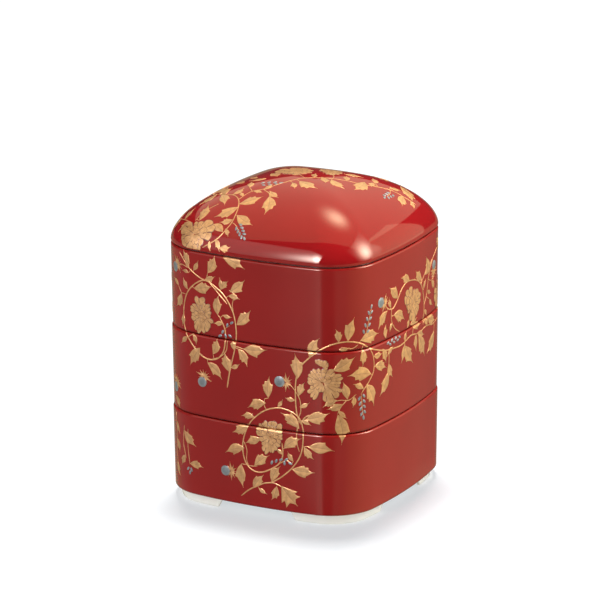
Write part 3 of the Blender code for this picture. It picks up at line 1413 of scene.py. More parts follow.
@dataclass(frozen=True)
class Spray:
    """Part of the painting: vines with their leaves, flowers, buds and berries, in mm.

    A vine is its width and its route. A leaf is the place of its base and of its tip. A berry is
    its place and its direction.
    """

    vines: tuple[tuple[float, tuple[Point, ...]], ...]
    leaves: tuple[Blade, ...]
    lobed: tuple[Blade, ...] = ()
    berries: tuple[Berry, ...] = ()
    buds: tuple[Bud, ...] = ()
    peonies: tuple[Peony, ...] = ()

    def placed(self, across: float = 0.0, up: float = 0.0, half_turn: bool = False) -> "Spray":
        """Give the same spray in another place.

        Args:
            across: How far it is shifted to the right.
            up: How far it is shifted up.
            half_turn: True where it is first turned half round the origin.

        Returns:
            The new spray.
        """
        sign, turn = (-1.0, 180.0) if half_turn else (1.0, 0.0)

        def carry(place: Sequence[float]) -> Point:
            """Carry one place."""
            return sign * place[0] + across, sign * place[1] + up

        def carry_petal(item: Petal) -> Petal:
            """Turn one petal with its flower."""
            offset = (sign * item.offset[0], sign * item.offset[1])
            return replace(item, heading=item.heading + turn, offset=offset)

        return Spray(
            vines=tuple((width, tuple(map(carry, route))) for width, route in self.vines),
            leaves=tuple((*carry(b[:2]), *carry(b[2:])) for b in self.leaves),
            lobed=tuple((*carry(b[:2]), *carry(b[2:])) for b in self.lobed),
            berries=tuple((*carry(b[:2]), b[2] + turn) for b in self.berries),
            buds=tuple(replace(b, place=carry(b.place), heading=b.heading + turn) for b in self.buds),
            peonies=tuple(replace(p, place=carry(p.place), petals=tuple(map(carry_petal, p.petals)))
                          for p in self.peonies))

    def stalk(self, base: Point) -> list[Patch]:
        """Join a leaf's base to the nearest vine.

        Args:
            base: The leaf's base.

        Returns:
            A thin stalk, or nothing where the leaf already touches or stands far from every vine.
        """
        touching, far, width, thick = 0.7, 7.0, 0.5, 0.1
        samples = np.vstack([along_curve(route) for _, route in self.vines])
        gaps = np.linalg.norm(samples - np.array(base), axis=1)
        nearest = int(np.argmin(gaps))
        if not touching < gaps[nearest] < far:
            return []
        return [stem((tuple(samples[nearest]), base), width, thick)]

    def gold(self) -> list[Patch]:
        """Draw everything in the spray that is painted gold.

        Returns:
            The shapes, in the order of painting.
        """
        drawn_width, broad_length, lobed_bow = 0.66, 7.5, 0.03
        shapes = [stem(route, drawn_width * width) for width, route in self.vines]
        for index, blade in enumerate(self.leaves):
            base, tip = blade[:2], blade[2:]
            kinds = SMALL_KINDS if math.dist(base, tip) < broad_length else BROAD_KINDS
            bow = LEAF_BOWS[index % len(LEAF_BOWS)]
            shapes += [leaf(base, tip, kinds[index % len(kinds)], bow), *self.stalk(base)]
        shapes += [leaf(b[:2], b[2:], Leaf.LOBED, lobed_bow) for b in self.lobed]
        for item in self.buds:
            shapes += item.calyx()
        for item in self.peonies:
            shapes += item.shapes()
        return shapes

    def blue(self) -> list[Patch]:
        """Draw everything in the spray that is painted silver blue.

        Returns:
            The shapes, in the order of painting.
        """
        length, breadth, thick = 2.6, 1.45, 0.3
        shapes = [oval((u, v), heading, length, breadth, thick) for u, v, heading in self.berries]
        for bud in self.buds:
            shapes += bud.disc()
        return shapes


def raceme(start: Point, end: Point, pairs: int) -> tuple[Berry, ...]:
    """Place berries in pairs along a twig, with one at its end.

    Args:
        start: Where the twig begins, in mm.
        end: Where it ends.
        pairs: How many pairs it carries.

    Returns:
        Each berry's place and direction.
    """
    widest, narrowing, stagger, splay = 1.75, 0.7, 0.35, 38.0
    first, last = np.array(start, float), np.array(end, float)
    ahead = (last - first) / np.linalg.norm(last - first)
    right = np.array([ahead[1], -ahead[0]])
    heading = math.degrees(math.atan2(ahead[1], ahead[0]))
    berries = []
    for pair in range(pairs):
        share = (pair + 0.5) / (pairs + 0.4)
        gap = widest - narrowing * share
        for side in (-1.0, 1.0):
            place = first + (last - first) * share + right * side * gap + ahead * stagger * side
            berries.append((*place, heading - splay * side))
    return (*berries, (*last, heading))


# Each ring's petals, their length, half angle and scallops, and the turn at which the ring starts.
BLOOM_RINGS = ((5, 10.6, 43.0, 3, 0.0), (3, 7.6, 56.0, 3, 26.0), (2, 4.6, 72.0, 4, 10.0))


def bloom(place: Point, size: float, turn: float) -> Peony:
    """Make an open peony by rule: three rings of petals, smaller towards the middle.

    Args:
        place: Its middle, in mm.
        size: Its size; 1 is 20 mm across.
        turn: How far it is turned, in degrees.

    Returns:
        The flower.
    """
    heading_sway, reach_sway = 11.0, 0.2
    petals = []
    for count, reach, spread, lobes, start in BLOOM_RINGS:
        for step in range(count):
            sway = math.sin(2.3 * step + turn)
            heading = turn + start + 360.0 * step / count + heading_sway * sway
            petals.append(Petal(heading, reach * (1.0 + reach_sway * sway), spread, lobes))
    return Peony(place, tuple(petals), size)


# The painting's layout ----------------------------------------------------------------------

LEFT_FLOWER = Peony((-33, 116.3), (
    Petal(96, 10.8, 27), Petal(150, 8.3, 28), Petal(181, 7.8, 26), Petal(222, 8.4, 27),
    Petal(254, 11.8, 20), Petal(288, 11.4, 23), Petal(321, 9.6, 26), Petal(5, 7.2, 29),
    Petal(51, 8.6, 28, 3), Petal(75, 5.6, 34), Petal(195, 5, 40), Petal(305, 4.8, 44),
    Petal(70, 2.8, 70, 3), Petal(250, 2.6, 80, 3)))

LOWER_FLOWER = Peony((12.5, 50), (
    Petal(132, 9.6, 24), Petal(166, 9.8, 22), Petal(100, 9.6, 26), Petal(60, 10.6, 27), Petal(22, 8.4, 27),
    Petal(346, 7.8, 24), Petal(214, 8, 26), Petal(249, 11.4, 18), Petal(276, 10, 17), Petal(306, 8.8, 23),
    Petal(80, 6.8, 34, 3), Petal(150, 6, 34), Petal(20, 5.6, 36), Petal(215, 5, 38), Petal(300, 5.2, 44),
    Petal(90, 3, 70, 3)))

MIDDLE_FLOWER = Peony((44.5, 86), (
    Petal(232, 12, 22, 3), Petal(300, 12.5, 40, 4, (1.5, 0)), Petal(345, 10.8, 24, 3), Petal(12, 12, 23, 3),
    Petal(196, 8.8, 26, 2), Petal(165, 9.2, 26), Petal(55, 9.8, 28, 3), Petal(125, 9.2, 28, 3),
    Petal(92, 8.6, 24), Petal(190, 6.2, 34, 2), Petal(100, 6.5, 36, 3), Petal(30, 5.8, 36),
    Petal(255, 6, 40, 3), Petal(80, 3.4, 64, 3), Petal(126, 5.4, 26, 2, (0, 9.2)),
    Petal(62, 4.6, 44, 3, (0, 9)), Petal(350, 3.8, 40, 2, (0, 9.6))))

LEFT_WREATH = Spray(
    vines=(
        (1.15, ((-15.7, 75), (-14, 84), (-12, 92), (-10, 100), (-9.3, 110), (-11, 120), (-16, 128.5),
                (-22, 133.5), (-30, 136.8), (-38, 133), (-44, 125.5), (-46.5, 115), (-45.5, 105.5),
                (-40, 97.5), (-34, 92), (-28, 90), (-22, 91.5), (-18, 96), (-16.5, 103), (-17, 110),
                (-20, 116))),
        (0.75, ((-27, 136), (-22, 131.5), (-15, 125))),
        (0.7, ((-26, 90.5), (-20.5, 92.6), (-16, 97), (-14.9, 104))),
        (0.95, ((-49, 150.5), (-44, 145), (-40, 141.5), (-35, 138.5), (-30, 136.5))),
        (0.7, ((-51, 121.5), (-48, 126), (-44, 126.3))),
        (0.7, ((-11, 120), (-11.5, 126), (-10, 131), (-13.5, 133.5))),
        (0.6, ((-17, 110), (-13.5, 112.5))),
        (0.8, ((-52, 142.5), (-47, 143.5), (-42, 142.5)))),
    leaves=(
        (-28, 141.5, -23, 153), (-17.5, 152.5, -3, 147.3), (-13, 132.5, -3, 141), (-19, 133, -14, 138.8),
        (-19.3, 133, -20, 140), (-14, 130, -6.5, 129), (-9, 113.5, 0.5, 123.5), (-21.5, 117.5, -20.5, 130),
        (-18, 118, -12, 117.5), (-18, 113.5, -24.5, 112.3), (-38, 131, -25, 134), (-42.5, 129.5, -46, 136),
        (-30, 137.5, -23, 140.3), (-40.5, 145.5, -45.5, 152.5), (-38, 141.5, -34.5, 147.8),
        (-48, 126, -54, 117), (-51, 130, -57, 133.5), (-46.8, 114, -47.8, 106.5), (-43, 101, -48.5, 96),
        (-39, 103.4, -36.5, 97.5), (-25, 93.6, -22, 104), (-10, 98, -11.5, 105), (-4.5, 100, 11, 101.5),
        (-8, 99.5, -2, 89.5), (-13, 87.5, -7, 90.5), (-13.5, 84.5, -17, 96.5), (-34, 96, -41.5, 84),
        (-29, 88, -19, 79), (-41.5, 139.5, -47, 140), (-41, 142.5, -44, 147.5)),
    berries=(
        (-15.2, 112.4, 75), (-12.2, 114.2, 35), (-18.4, 108, 60), (-16.4, 105.8, 110), (-13.4, 106.2, 150),
        (-20.2, 105.3, 20)),
    buds=(Bud((-54.5, 140.5), 35), Bud((-33, 75.5), 68), Bud((-57, 67.5), 60)),
    peonies=(LEFT_FLOWER,))

LEFT_TWIGS = Spray(
    vines=(
        (0.8, ((-47, 46.5), (-48.3, 36), (-46, 26.5))),
        (0.7, ((-44, 45), (-44.3, 34), (-43, 23.5))),
        (0.7, ((-57, 52), (-55.5, 40), (-56.5, 28), (-55, 17)))),
    leaves=(
        (-47, 43.5, -38, 35.3), (-43, 24, -33, 23.3), (-55.5, 46.5, -52, 40), (-55.5, 36, -52.5, 28.5),
        (-56, 22, -53, 14), (-57, 62, -52, 55.5), (-46.5, 28.5, -50.5, 21.5)),
    berries=((-43, 18.5, 80), (-44.5, 20.6, 50), (-41.8, 20.4, 110)))

LOWER_WREATH = Spray(
    vines=(
        (1.1, ((-7, 11), (-2, 15.3), (3, 18.4), (8, 20.9), (13, 22.3), (20, 27), (27, 34), (31.5, 42),
               (33, 52), (32, 60), (29.5, 64), (25, 66.5), (18, 67.7), (10, 65.5), (3, 60.5), (-1.5, 55),
               (-5, 46), (-5.5, 38), (-3.5, 31.5), (1, 27.6), (7, 27.5), (13, 30.5), (18, 34.5), (20.2, 40),
               (19.8, 47))),
        (0.8, ((6.5, 20.4), (11, 21.6), (15, 21.8), (19.5, 20.2))),
        (0.8, ((30, 61.5), (29, 55), (29.2, 48), (30.5, 43))),
        (0.75, ((-1.8, 29.5), (-3.2, 34), (-2.9, 39.5), (-5, 45))),
        (0.7, ((-3.5, 30.4), (0.5, 30.2), (4, 30.8))),
        (0.7, ((32.4, 46), (35, 46.8), (38, 47))),
        (0.9, ((31.5, 60.5), (34, 64), (37.5, 65.8))),
        (0.7, ((18.6, 34.6), (22.5, 36.8), (26.4, 35)))),
    leaves=(
        (2, 60, -6.5, 59.5), (-2, 55, -12.5, 48.7), (6.5, 47.5, -4, 43.4), (21, 43.8, 32, 51.2),
        (-4.5, 40.5, -17.5, 35.5), (2, 30.8, 11.7, 38.3), (20.2, 40, 15.7, 43.2), (26.8, 36.8, 23.3, 42.5),
        (33.5, 46.3, 39.5, 39.3), (36, 46.5, 51.5, 45), (26, 32, 40, 31.5), (13, 22.5, 18.8, 33),
        (-6.7, 30.5, -5.5, 16), (1, 16.8, 8, 26), (4.5, 17.6, 10, 14.5), (16, 20.3, 12.5, 11.3),
        (30.5, 57, 19, 65), (31.5, 61.8, 37.8, 59.5), (34.5, 63, 48.8, 67.8)),
    lobed=((19.3, 20.8, 29.3, 9.8),),
    berries=(
        (13.2, 34.3, 70), (16, 35.6, 65), (19, 36.8, 30), (21.2, 35, 100), (22.3, 37.2, 40),
        (24.8, 35.3, 160)),
    buds=(Bud((-17.5, 24.5), 5),),
    peonies=(LOWER_FLOWER,))

LONG_VINE = Spray(
    vines=(
        (1.15, ((31.3, 59.5), (29, 66), (28.3, 75), (28.6, 85), (30.5, 92.5), (34, 97), (39, 101.6),
                (44.5, 105.6), (52, 108.8), (60, 109.5), (68, 107.3), (75, 103), (82, 100.4), (90, 98),
                (98, 97), (107, 96.5), (113, 97.5), (120, 99), (127, 98))),
        (0.8, ((28.4, 79), (31, 74), (31.5, 68), (30.2, 63.5))),
        (0.8, ((10, 65.5), (8.5, 68.2), (8.8, 72))),
        (0.65, ((23.8, 83.6), (26.2, 81.5), (28.2, 79))),
        (0.75, ((64.5, 77.8), (60, 75), (55, 75.3), (51, 74.6))),
        (0.75, ((58.5, 74.8), (55, 71), (53.3, 67))),
        (0.95, ((74.5, 103), (77.3, 98), (78.3, 92), (77.3, 88), (74, 84), (70, 80), (68, 77.8))),
        (0.6, ((68, 78), (68.4, 71), (69.3, 64.5))),
        (0.6, ((70.5, 108), (73, 117), (75.8, 126))),
        (0.75, ((56, 106.5), (62, 105.2), (66, 107))),
        (0.8, ((93.5, 98), (93.8, 92), (93.2, 84.5))),
        (0.8, ((112, 97.5), (111.8, 95), (111.5, 92))),
        (0.8, ((127, 98), (133, 97.8), (142, 98.8), (152, 97), (162, 98.5)))),
    leaves=(
        (9.5, 69.5, -2.3, 65), (11.3, 72.8, 12.2, 86), (17, 68.2, 20.3, 73), (28, 73.8, 21.8, 74.5),
        (30.8, 70, 36.8, 73.2), (30.2, 76.5, 34, 85), (29.6, 86.5, 28, 101.8), (37, 100.5, 43, 112),
        (54, 109.5, 52.3, 117.5), (59.5, 109.8, 63.5, 123.5), (50.5, 93, 63.8, 100.3),
        (68.5, 103.8, 68.6, 93.5), (54.5, 105, 60.5, 106), (67.5, 109, 83.5, 110), (59, 75.5, 56.3, 86.3),
        (63, 76.8, 62.3, 70.2), (53, 75.5, 44.8, 71), (56.5, 72.8, 47, 70), (54, 69, 58.8, 64),
        (53.3, 66.8, 55.3, 48.5), (75.5, 87.8, 59, 89.2), (79, 91.5, 91, 87.5), (69.5, 80.3, 62.5, 84.2),
        (71.5, 82.3, 78.3, 67.8), (78, 97.8, 86.5, 97.5), (87, 99.8, 90.5, 90.5), (98, 98, 91.5, 94.3),
        (93.2, 84.5, 84, 72), (93.5, 89.5, 97.8, 80), (112, 96, 108, 85.5), (112, 95, 122.5, 82),
        (112, 97.3, 114.3, 103.3), (127, 97.8, 127, 87.5), (130, 95.5, 139.5, 81),
        (128.5, 98.3, 138.5, 94.6), (155, 92, 143, 81.5), (144, 103.5, 156.5, 98.5),
        (122.6, 102.6, 133.2, 102.6)),
    berries=raceme((68, 77), (69.6, 63), 4) + raceme((71, 112), (76, 127.5), 4),
    buds=(Bud((18.4, 83.6), 0, 3.2),),
    peonies=(MIDDLE_FLOWER,))

RIGHT_WREATH = Spray(
    vines=(
        (1, ((90, 124.5), (94, 121.5), (99, 121), (104, 125), (108, 129.3), (114, 132.2), (122, 131.7),
             (130, 129), (135.5, 124), (138.5, 116), (139, 108), (136.5, 101))),
        (0.8, ((97, 121), (97, 114), (101, 108.3), (106.5, 104.8))),
        (0.8, ((139, 112), (143, 118), (145, 126), (148, 132), (152.5, 137))),
        (0.7, ((145, 126), (151, 124), (155, 127.5))),
        (0.8, ((152.5, 137), (160, 141), (168, 139), (174, 133), (176, 124)))),
    leaves=(
        (92, 121, 83, 112.3), (96, 121.8, 94, 128.3), (104, 125.3, 94, 134.3), (99.5, 116.5, 112.5, 110.3),
        (118, 132.3, 107.5, 136.3), (135, 128.8, 126, 136.3), (139, 130.5, 150.5, 136.5),
        (91, 105, 91, 113.3), (98, 112.5, 95, 107.5), (138, 122, 141.5, 127.5), (144, 119.5, 150, 116.5),
        (150.5, 123.5, 156, 117), (147.5, 113.5, 152.5, 108.5), (139.5, 109, 143.5, 104.5),
        (146.5, 129.5, 141, 141), (174, 121.5, 180, 112), (165, 140.5, 158, 147.5), (172, 136, 182, 140),
        (119.8, 105.6, 128.6, 107.4), (138, 104, 143.8, 97.9), (115.6, 104.6, 118.4, 110)),
    berries=(
        (92.5, 101.8, 20), (95, 100.4, 150), (97, 102.3, 30), (99.2, 100.6, 160), (101.3, 102.4, 40),
        (103.4, 100.8, 10), (105.6, 102, 150)),
    buds=(Bud((85.5, 127.5), 340), Bud((154.8, 132.2), 260, 2.8), Bud((178, 125.5), 200)),
    peonies=(bloom((122.6, 118.3), 1, 128), bloom((166, 113), 0.95, 40)))

LID_SPRAY = Spray(
    vines=(
        (0.85, ((-36, -75.5), (-27, -72), (-22, -67.5), (-18.3, -60.5), (-18, -54.5), (-19, -48),
                (-22, -41.5), (-27, -37.5), (-33, -36.5))),
        (0.75, ((-22, -41.5), (-18, -33), (-11, -28), (-4, -18), (1.5, -10), (8, -4.5), (15, 0.5),
                (24, 5.5), (33, 10), (40, 18), (45.5, 23.5), (53, 27), (60, 31))),
        (0.7, ((-12, -29), (-6, -33), (-3, -37.5))),
        (0.6, ((-18, -60), (-14.5, -62), (-9, -68))),
        (0.7, ((45, 23), (47.5, 18), (48.3, 13))),
        (0.7, ((-44, -58.5), (-40, -52), (-33, -46))),
        (0.7, ((-33, -36.5), (-42, -33), (-50, -27), (-56, -18), (-58, -8))),
        (0.65, ((-46, -60), (-52, -56), (-60, -50), (-65, -42), (-68, -33))),
        (0.6, ((4, -7.5), (0, -4.5), (-5, -1))),
        (0.6, ((17, 1.5), (16, 5.5), (13, 9))),
        (0.6, ((-57.5, -11.5), (-60, -12.5), (-63, -13.5)))),
    leaves=(
        (-41, -59, -40, -46), (-19, -48, -31.5, -56.8), (-17, -54.5, -3.5, -60.7),
        (-18.3, -58, -26.5, -60.2), (-22, -66.5, -32, -61.5), (-21, -64.5, -17.5, -69.5),
        (-30.5, -72, -30.3, -78), (-26.5, -71, -23, -78), (-23, -76, -14.5, -75.2),
        (-36, -36, -28.5, -47.3), (-19.5, -45.5, -8, -36.5), (-4.5, -36, 0.3, -52), (-6.5, -30.5, 1.8, -36),
        (-20.5, -38, -24, -34), (-21.5, -28, -25, -19.5), (-17, -32, -10.5, -33), (-11.5, -29.5, -9.5, -22),
        (1, -17, 5.8, -24), (3.5, -13.5, 18.3, -19.2), (11, -0.5, 17.8, -9), (17.5, -0.5, 29.8, -7),
        (31.5, 14.5, 33.8, -2.8), (35, 19.5, 37.5, 12.3), (18, 15, 27.5, 20.5), (43, 25.5, 47.8, 32),
        (43.5, 39, 58.5, 30), (52, 27, 58.5, 16), (56.5, 29.5, 62.5, 25), (36, 20, 30.5, 26.5),
        (8, -3.5, 5, 4), (24, 6, 20, 13), (-41, -33, -49, -43), (-46, -30.5, -42.5, -18.5),
        (-51, -26, -63, -30), (-55, -20, -45, -10.5), (-57, -12.5, -69, -11), (-58, -8, -54, 3.5),
        (-33.5, -36, -38.5, -24), (-47, -59, -57, -62.5), (-54, -54.5, -50, -45.5),
        (-59, -51, -66.5, -55.5), (-62.5, -46.5, -58, -35.5), (-67, -36, -74.5, -29),
        (-68, -33, -63.5, -22), (-36, -31.5, -45.5, -26.5), (-21.5, -2, -12.5, -10.5), (-26, -12, -33, -6),
        (-18, -14, -28, -17), (-28, -37, -24.5, -29), (-39, -34.5, -33, -27.5), (-30, -19.5, -38.5, -14.5)),
    berries=raceme((-13.5, -61.5), (-6, -69.6), 4) + raceme((-17, -23.5), (-5.5, -19), 3)
    + raceme((47.8, 20), (48.4, 9.5), 3),
    peonies=(
        bloom((-41.5, -68), 1.08, 80), bloom((-9, 5), 1.05, 35), bloom((10, 14), 0.7, 10),
        bloom((-68, -15), 0.9, 20)))

# Each spray on the walls, with its shift to the right and up in mm. WALL_LIFT raises them all.
WALL_LIFT = 0.8
WALL_SPRAYS = tuple(spray.placed(across, WALL_LIFT + up) for spray, across, up in (
    (LEFT_WREATH, 0, 0), (LEFT_TWIGS, 0, 0), (LOWER_WREATH, 0, 0), (LONG_VINE, 0, 0), (RIGHT_WREATH, 0, 0),
    (LOWER_WREATH, 227.4, 0), (LEFT_WREATH, 231.4, 0), (LEFT_TWIGS, 235.4, 0), (LOWER_WREATH, -112, 66)))
LID_SPRAYS = (LID_SPRAY, replace(LID_SPRAY, vines=LID_SPRAY.vines[:1], leaves=LID_SPRAY.leaves[:12],
                                 berries=(), peonies=LID_SPRAY.peonies[:1]).placed(half_turn=True))


@dataclass(frozen=True)
class Painting:
    """Raised painting on one shell, in one colour."""

    carrier: Tray | Lid
    shapes: tuple[Patch, ...]
    crease: float = 40.0

    def drawing(self, low: float, top: float) -> bpy.types.Mesh:
        """Gather the shapes that reach this shell into one flat mesh.

        Args:
            low: The lowest level that the shell takes, in mm.
            top: The highest.

        Returns:
            The mesh, with the shapes' line attribute.
        """
        near = [s for s in self.shapes if s.points[:, 1].max() > low and s.points[:, 1].min() < top]
        faces, start = [], 0
        for shape in near:
            faces += [tuple(start + index for index in face) for face in shape.faces]
            start += len(shape.points)
        mesh = bpy.data.meshes.new("flat_painting")
        mesh.from_pydata(np.vstack([shape.points for shape in near]), [], faces)
        line = mesh.attributes.new("line", "FLOAT", "POINT")
        line.data.foreach_set("value", np.concatenate([shape.line for shape in near]))
        return mesh

    def flat(self) -> bmesh.types.BMesh:
        """Cut the flat drawing where it bends and where it ends on this shell.

        Returns:
            The flat drawing, closed at its cut ends.
        """
        weld = 1.0e-4
        cuts = sorted(self.carrier.cuts(), key=lambda cut: cut[1] == 0)
        mesh = self.drawing(max((level for level, side in cuts if side < 0), default=-math.inf),
                            min((level for level, side in cuts if side > 0), default=math.inf))
        body = bmesh.new()
        body.from_mesh(mesh)
        bpy.data.meshes.remove(mesh)
        for level, side in cuts:
            cut = bmesh.ops.bisect_plane(
                body, geom=[*body.verts, *body.edges, *body.faces], dist=weld,
                plane_co=(0.0, level, 0.0), plane_no=(0.0, 1.0, 0.0),
                clear_outer=side > 0, clear_inner=side < 0)
            if side:
                edges = [part for part in cut["geom_cut"] if isinstance(part, bmesh.types.BMEdge)]
                bmesh.ops.holes_fill(body, edges=edges, sides=0)
        return body

    def build(self, name: str, material: bpy.types.Material, slot: str) -> bpy.types.Object:
        """Lay the drawing on its shell.

        Args:
            name: The piece's name.
            material: Its finish.
            slot: The record's material slot for it; not used.

        Returns:
            The painting's piece.
        """
        body = self.flat()
        laid = self.carrier.lay(np.array([vertex.co[:] for vertex in body.verts]))
        mesh = bpy.data.meshes.new(name)
        body.to_mesh(mesh)
        body.free()
        mesh.vertices.foreach_set("co", laid.astype(np.float32).ravel())
        piece = show(mesh, name, (material,), self.crease)
        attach(piece, "root")
        return piece


# Studio -------------------------------------------------------------------------------------


def towards(azimuth: float, elevation: float) -> Vector:
    """Give the unit direction from the object: azimuth from -Y towards +X, both in degrees."""
    a, e = math.radians(azimuth), math.radians(elevation)
    return Vector((math.sin(a) * math.cos(e), -math.cos(a) * math.cos(e), math.sin(e)))


class Part(Enum):
    """Which part of a light a surface takes: all of it, its mirrored shape or its soft fill."""

    WHOLE = "whole"
    MIRRORED = "mirrored"
    FILL = "fill"


class Reach(Enum):
    """What a light falls on; the value is how it treats the floor."""

    OBJECT = "EXCLUDE"
    FLOOR = "INCLUDE"


@dataclass(frozen=True)
class SoftLight:
    """One rectangular softbox that faces the lid, brightest round a core on its face.

    Places and sizes on the face are shares of its width and height, from its lower corner on the
    side of the smaller azimuth.
    """

    name: str
    azimuth: float
    elevation: float
    distance: float
    width: float
    height: float
    radiance: float
    tint: Colour = (1.0, 1.0, 1.0)
    part: Part = Part.WHOLE
    rim_share: float = 1.0
    core: Point = (0.5, 0.5)
    core_size: Point = (1.0, 1.0)
    reach: Reach = Reach.OBJECT

    def build(self, target: Vector, floor: bpy.types.Object) -> None:
        """Build the light.

        Args:
            target: The point it faces.
            floor: The studio floor.
        """
        data = bpy.data.lights.new(self.name, "AREA")
        data.shape = "RECTANGLE"
        data.size, data.size_y = self.width, self.height
        data.energy = self.radiance * math.pi * self.width * self.height
        data.color = self.tint
        self.grade(data)
        light = stand(self.name, data)
        self.place(light, target)
        light.visible_camera = False
        light.visible_diffuse = self.part is not Part.MIRRORED
        light.visible_glossy = self.part is not Part.FILL
        listed = bpy.data.collections.new(f"{self.name}_reach")
        listed.objects.link(floor)
        listed.collection_objects[0].light_linking.link_state = self.reach.value
        light.light_linking.receiver_collection = listed

    def place(self, light: bpy.types.Object, target: Vector) -> None:
        """Stand the light on its side of the object and turn its face to the target.

        Args:
            light: The light.
            target: The point it faces.
        """
        out = towards(self.azimuth, self.elevation)
        light.location = target + out * self.distance
        light.rotation_mode = "QUATERNION"
        light.rotation_quaternion = (-out).to_track_quat("-Z", "Y")

    def grade(self, data: bpy.types.Light) -> None:
        """Make the light's face fade smoothly from its core to its rim.

        Args:
            data: The light's data.
        """
        data.use_nodes = True
        graph = Graph(data.node_tree)
        face = graph.add("NewGeometry").outputs["Parametric"]
        offset = graph.combine("SUBTRACT", face, (*self.core, 0.0))
        scaled = graph.combine("DIVIDE", offset, (*self.core_size, 1.0))
        minus = graph.calculate("MULTIPLY", graph.combine("DOT_PRODUCT", scaled, scaled), -1.0)
        strength = graph.spread(graph.calculate("EXPONENT", minus), self.rim_share, 1.0)
        glow = graph.add("Emission", {"Strength": strength})
        graph.add("OutputLight", {0: glow.outputs[0]})


@dataclass(frozen=True)
class OverheadBank(SoftLight):
    """Large level softbox over the object, turned to stand square to the camera."""

    turn: float = 28.14

    def place(self, light: bpy.types.Object, target: Vector) -> None:
        """Hang the light level over its spot, face down.

        Args:
            light: The light.
            target: The point from which its spot is measured.
        """
        light.location = target + towards(self.azimuth, self.elevation) * self.distance
        light.rotation_euler = (0.0, 0.0, math.radians(self.turn))


# Each light's azimuth, elevation, distance, width, height, radiance, tint and part.
LIGHTS = (
    SoftLight("front_softbox", -23.5, 23.5, 1.3, 1.30, 0.98, 49.0, (1.0, 1.0, 1.06), Part.MIRRORED,
              rim_share=0.027, core=(0.854, 0.47), core_size=(0.168, 0.29)),
    SoftLight("front_fill", -23.5, 45.0, 1.3, 1.30, 0.95, 3.45, (1.0, 0.98, 0.95), Part.FILL),
    SoftLight("side_softbox", 111.0, 27.5, 1.3, 1.27, 1.36, 23.5, (1.0, 0.95, 0.84), Part.MIRRORED,
              rim_share=0.012, core=(0.54, 0.468), core_size=(0.25, 0.32)),
    SoftLight("side_fill", 111.0, 48.0, 1.3, 1.27, 1.08, 7.2, (1.0, 0.95, 0.84), Part.FILL),
    SoftLight("back_card", 140.0, 13.0, 1.4, 0.80, 0.91, 1.5, (1.0, 0.88, 0.60), Part.MIRRORED,
              rim_share=0.6, core=(0.0, 0.5), core_size=(0.8, 1.0)),
    OverheadBank("overhead_bank", 192.0, 40.16, 1.861, 3.29, 3.49, 10.2, (1.0, 0.92, 0.67), Part.MIRRORED,
                 rim_share=0.095, core=(0.465, 0.2615), core_size=(0.062, 0.065)),
    OverheadBank("overhead_fill", 203.3, 42.0, 1.794, 4.08, 3.57, 0.34, (1.0, 0.95, 0.85), Part.FILL),
    SoftLight("floor_lamp", 206.3, 79.1, 4.0, 0.70, 0.70, 107.0, reach=Reach.FLOOR))


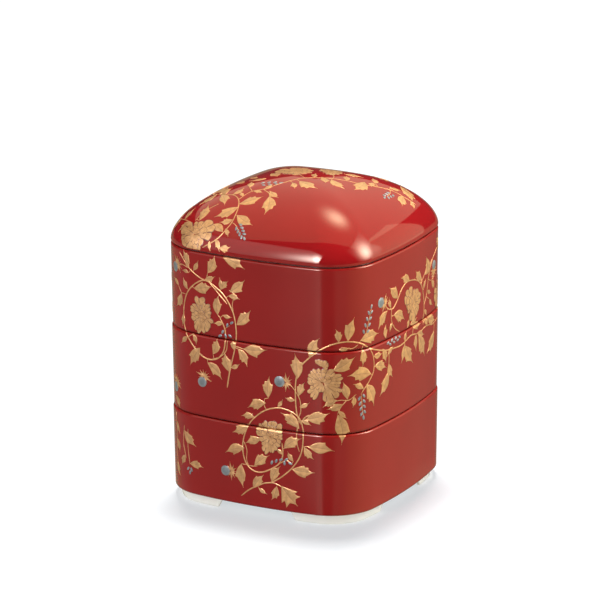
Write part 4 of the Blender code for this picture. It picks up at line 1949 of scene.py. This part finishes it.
@dataclass(frozen=True)
class Studio:
    """Floor, lights, backdrop light and camera."""

    aim: Vector
    floor_size: float = 6.0
    world_glow: float = 0.13
    mirrored_glow: float = 0.05
    azimuth: float = 28.14
    elevation: float = 17.21
    distance: float = 2.142
    focal_length: float = 219.5
    clip: tuple[float, float] = (0.05, 50.0)
    aim_height: float = 85.2 * MM
    frame_left: float = 3.4 * MM
    frame_up: float = 26.3 * MM
    roll: float = -0.36

    def floor(self) -> bpy.types.Object:
        """Lay the paper floor under the feet.

        Returns:
            The floor.
        """
        mesh = bpy.data.meshes.new("studio_floor")
        body = bmesh.new()
        bmesh.ops.create_grid(body, x_segments=1, y_segments=1, size=self.floor_size)
        body.to_mesh(mesh)
        body.free()
        piece = show(mesh, "studio_floor", (PaperSweep().build(),))
        piece.location.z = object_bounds()[0].z
        piece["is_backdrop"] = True
        return piece

    def backdrop(self) -> None:
        """Light the surroundings evenly; the camera sees them white."""
        world = bpy.data.worlds.new("studio_world")
        bpy.context.scene.world = world
        world.use_nodes = True
        graph = Graph(world.node_tree)
        path = graph.add("LightPath").outputs
        around = graph.spread(path["Is Glossy Ray"], self.world_glow, self.mirrored_glow)
        strength = graph.calculate("MAXIMUM", around, path["Is Camera Ray"])
        glow = graph.add("Background", {"Color": opaque((1.0, 1.0, 1.0)), "Strength": strength})
        graph.add("OutputWorld", {"Surface": glow.outputs[0]})

    def camera(self) -> None:
        """Stand the camera to the right of the front and a little above."""
        data = bpy.data.cameras.new("camera")
        data.lens = self.focal_length
        data.clip_start, data.clip_end = self.clip
        camera = stand("camera", data)
        out = towards(self.azimuth, self.elevation)
        middle = Vector((0.0, 0.0, self.aim_height))
        level = (-out).to_track_quat("-Z", "Y")
        aim = middle + level @ Vector((-self.frame_left, self.frame_up, 0.0))
        camera.location = middle + out * self.distance
        camera.rotation_mode = "QUATERNION"
        looking = (aim - camera.location).to_track_quat("-Z", "Y")
        camera.rotation_quaternion = looking @ Quaternion((0.0, 0.0, 1.0), math.radians(self.roll))
        bpy.context.scene.camera = camera

    def build(self) -> None:
        """Set up the whole studio."""
        floor = self.floor()
        self.backdrop()
        for light in LIGHTS:
            light.build(self.aim, floor)
        self.camera()
        bpy.context.scene.view_settings.view_transform = "Standard"


def painted(sprays: Sequence[Spray]) -> tuple[tuple[Patch, ...], tuple[Patch, ...]]:
    """Draw several sprays.

    Args:
        sprays: The sprays, in the order of painting.

    Returns:
        Their gold shapes and their silver-blue shapes.
    """
    return (tuple(shape for spray in sprays for shape in spray.gold()),
            tuple(shape for spray in sprays for shape in spray.blue()))


def main() -> None:
    """Build the food box and its studio."""
    logging.basicConfig(level=logging.INFO, format="%(message)s")
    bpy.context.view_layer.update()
    low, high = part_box(TIERS[0])
    plan = Plan((high.x - low.x) / 2.0)
    effects = Effects.build()
    glazes = (RedGlaze().build(effects), WhitePorcelain().build(effects))
    gold, blue = GOLD.build(effects), SILVER_BLUE.build(effects)
    walls, dome = painted(WALL_SPRAYS), painted(LID_SPRAYS)
    shells = [(Tray(node, plan), walls) for node in TIERS] + [(Lid(LID, plan), dome)]
    for shell, (gold_shapes, blue_shapes) in shells:
        made = [
            shell.build(glazes),
            Painting(shell, gold_shapes).build(f"gold_painting_{shell.node}", gold, "gold_overglaze"),
            Painting(shell, blue_shapes).build(
                f"blue_painting_{shell.node}", blue, "silver_blue_overglaze")]
        for piece in made:
            LOG.info("%s: %d faces", piece.name, len(piece.data.polygons))
    Studio(Vector((0.0, 0.0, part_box(LID)[0].z))).build()


if __name__ == "__main__":
    main()
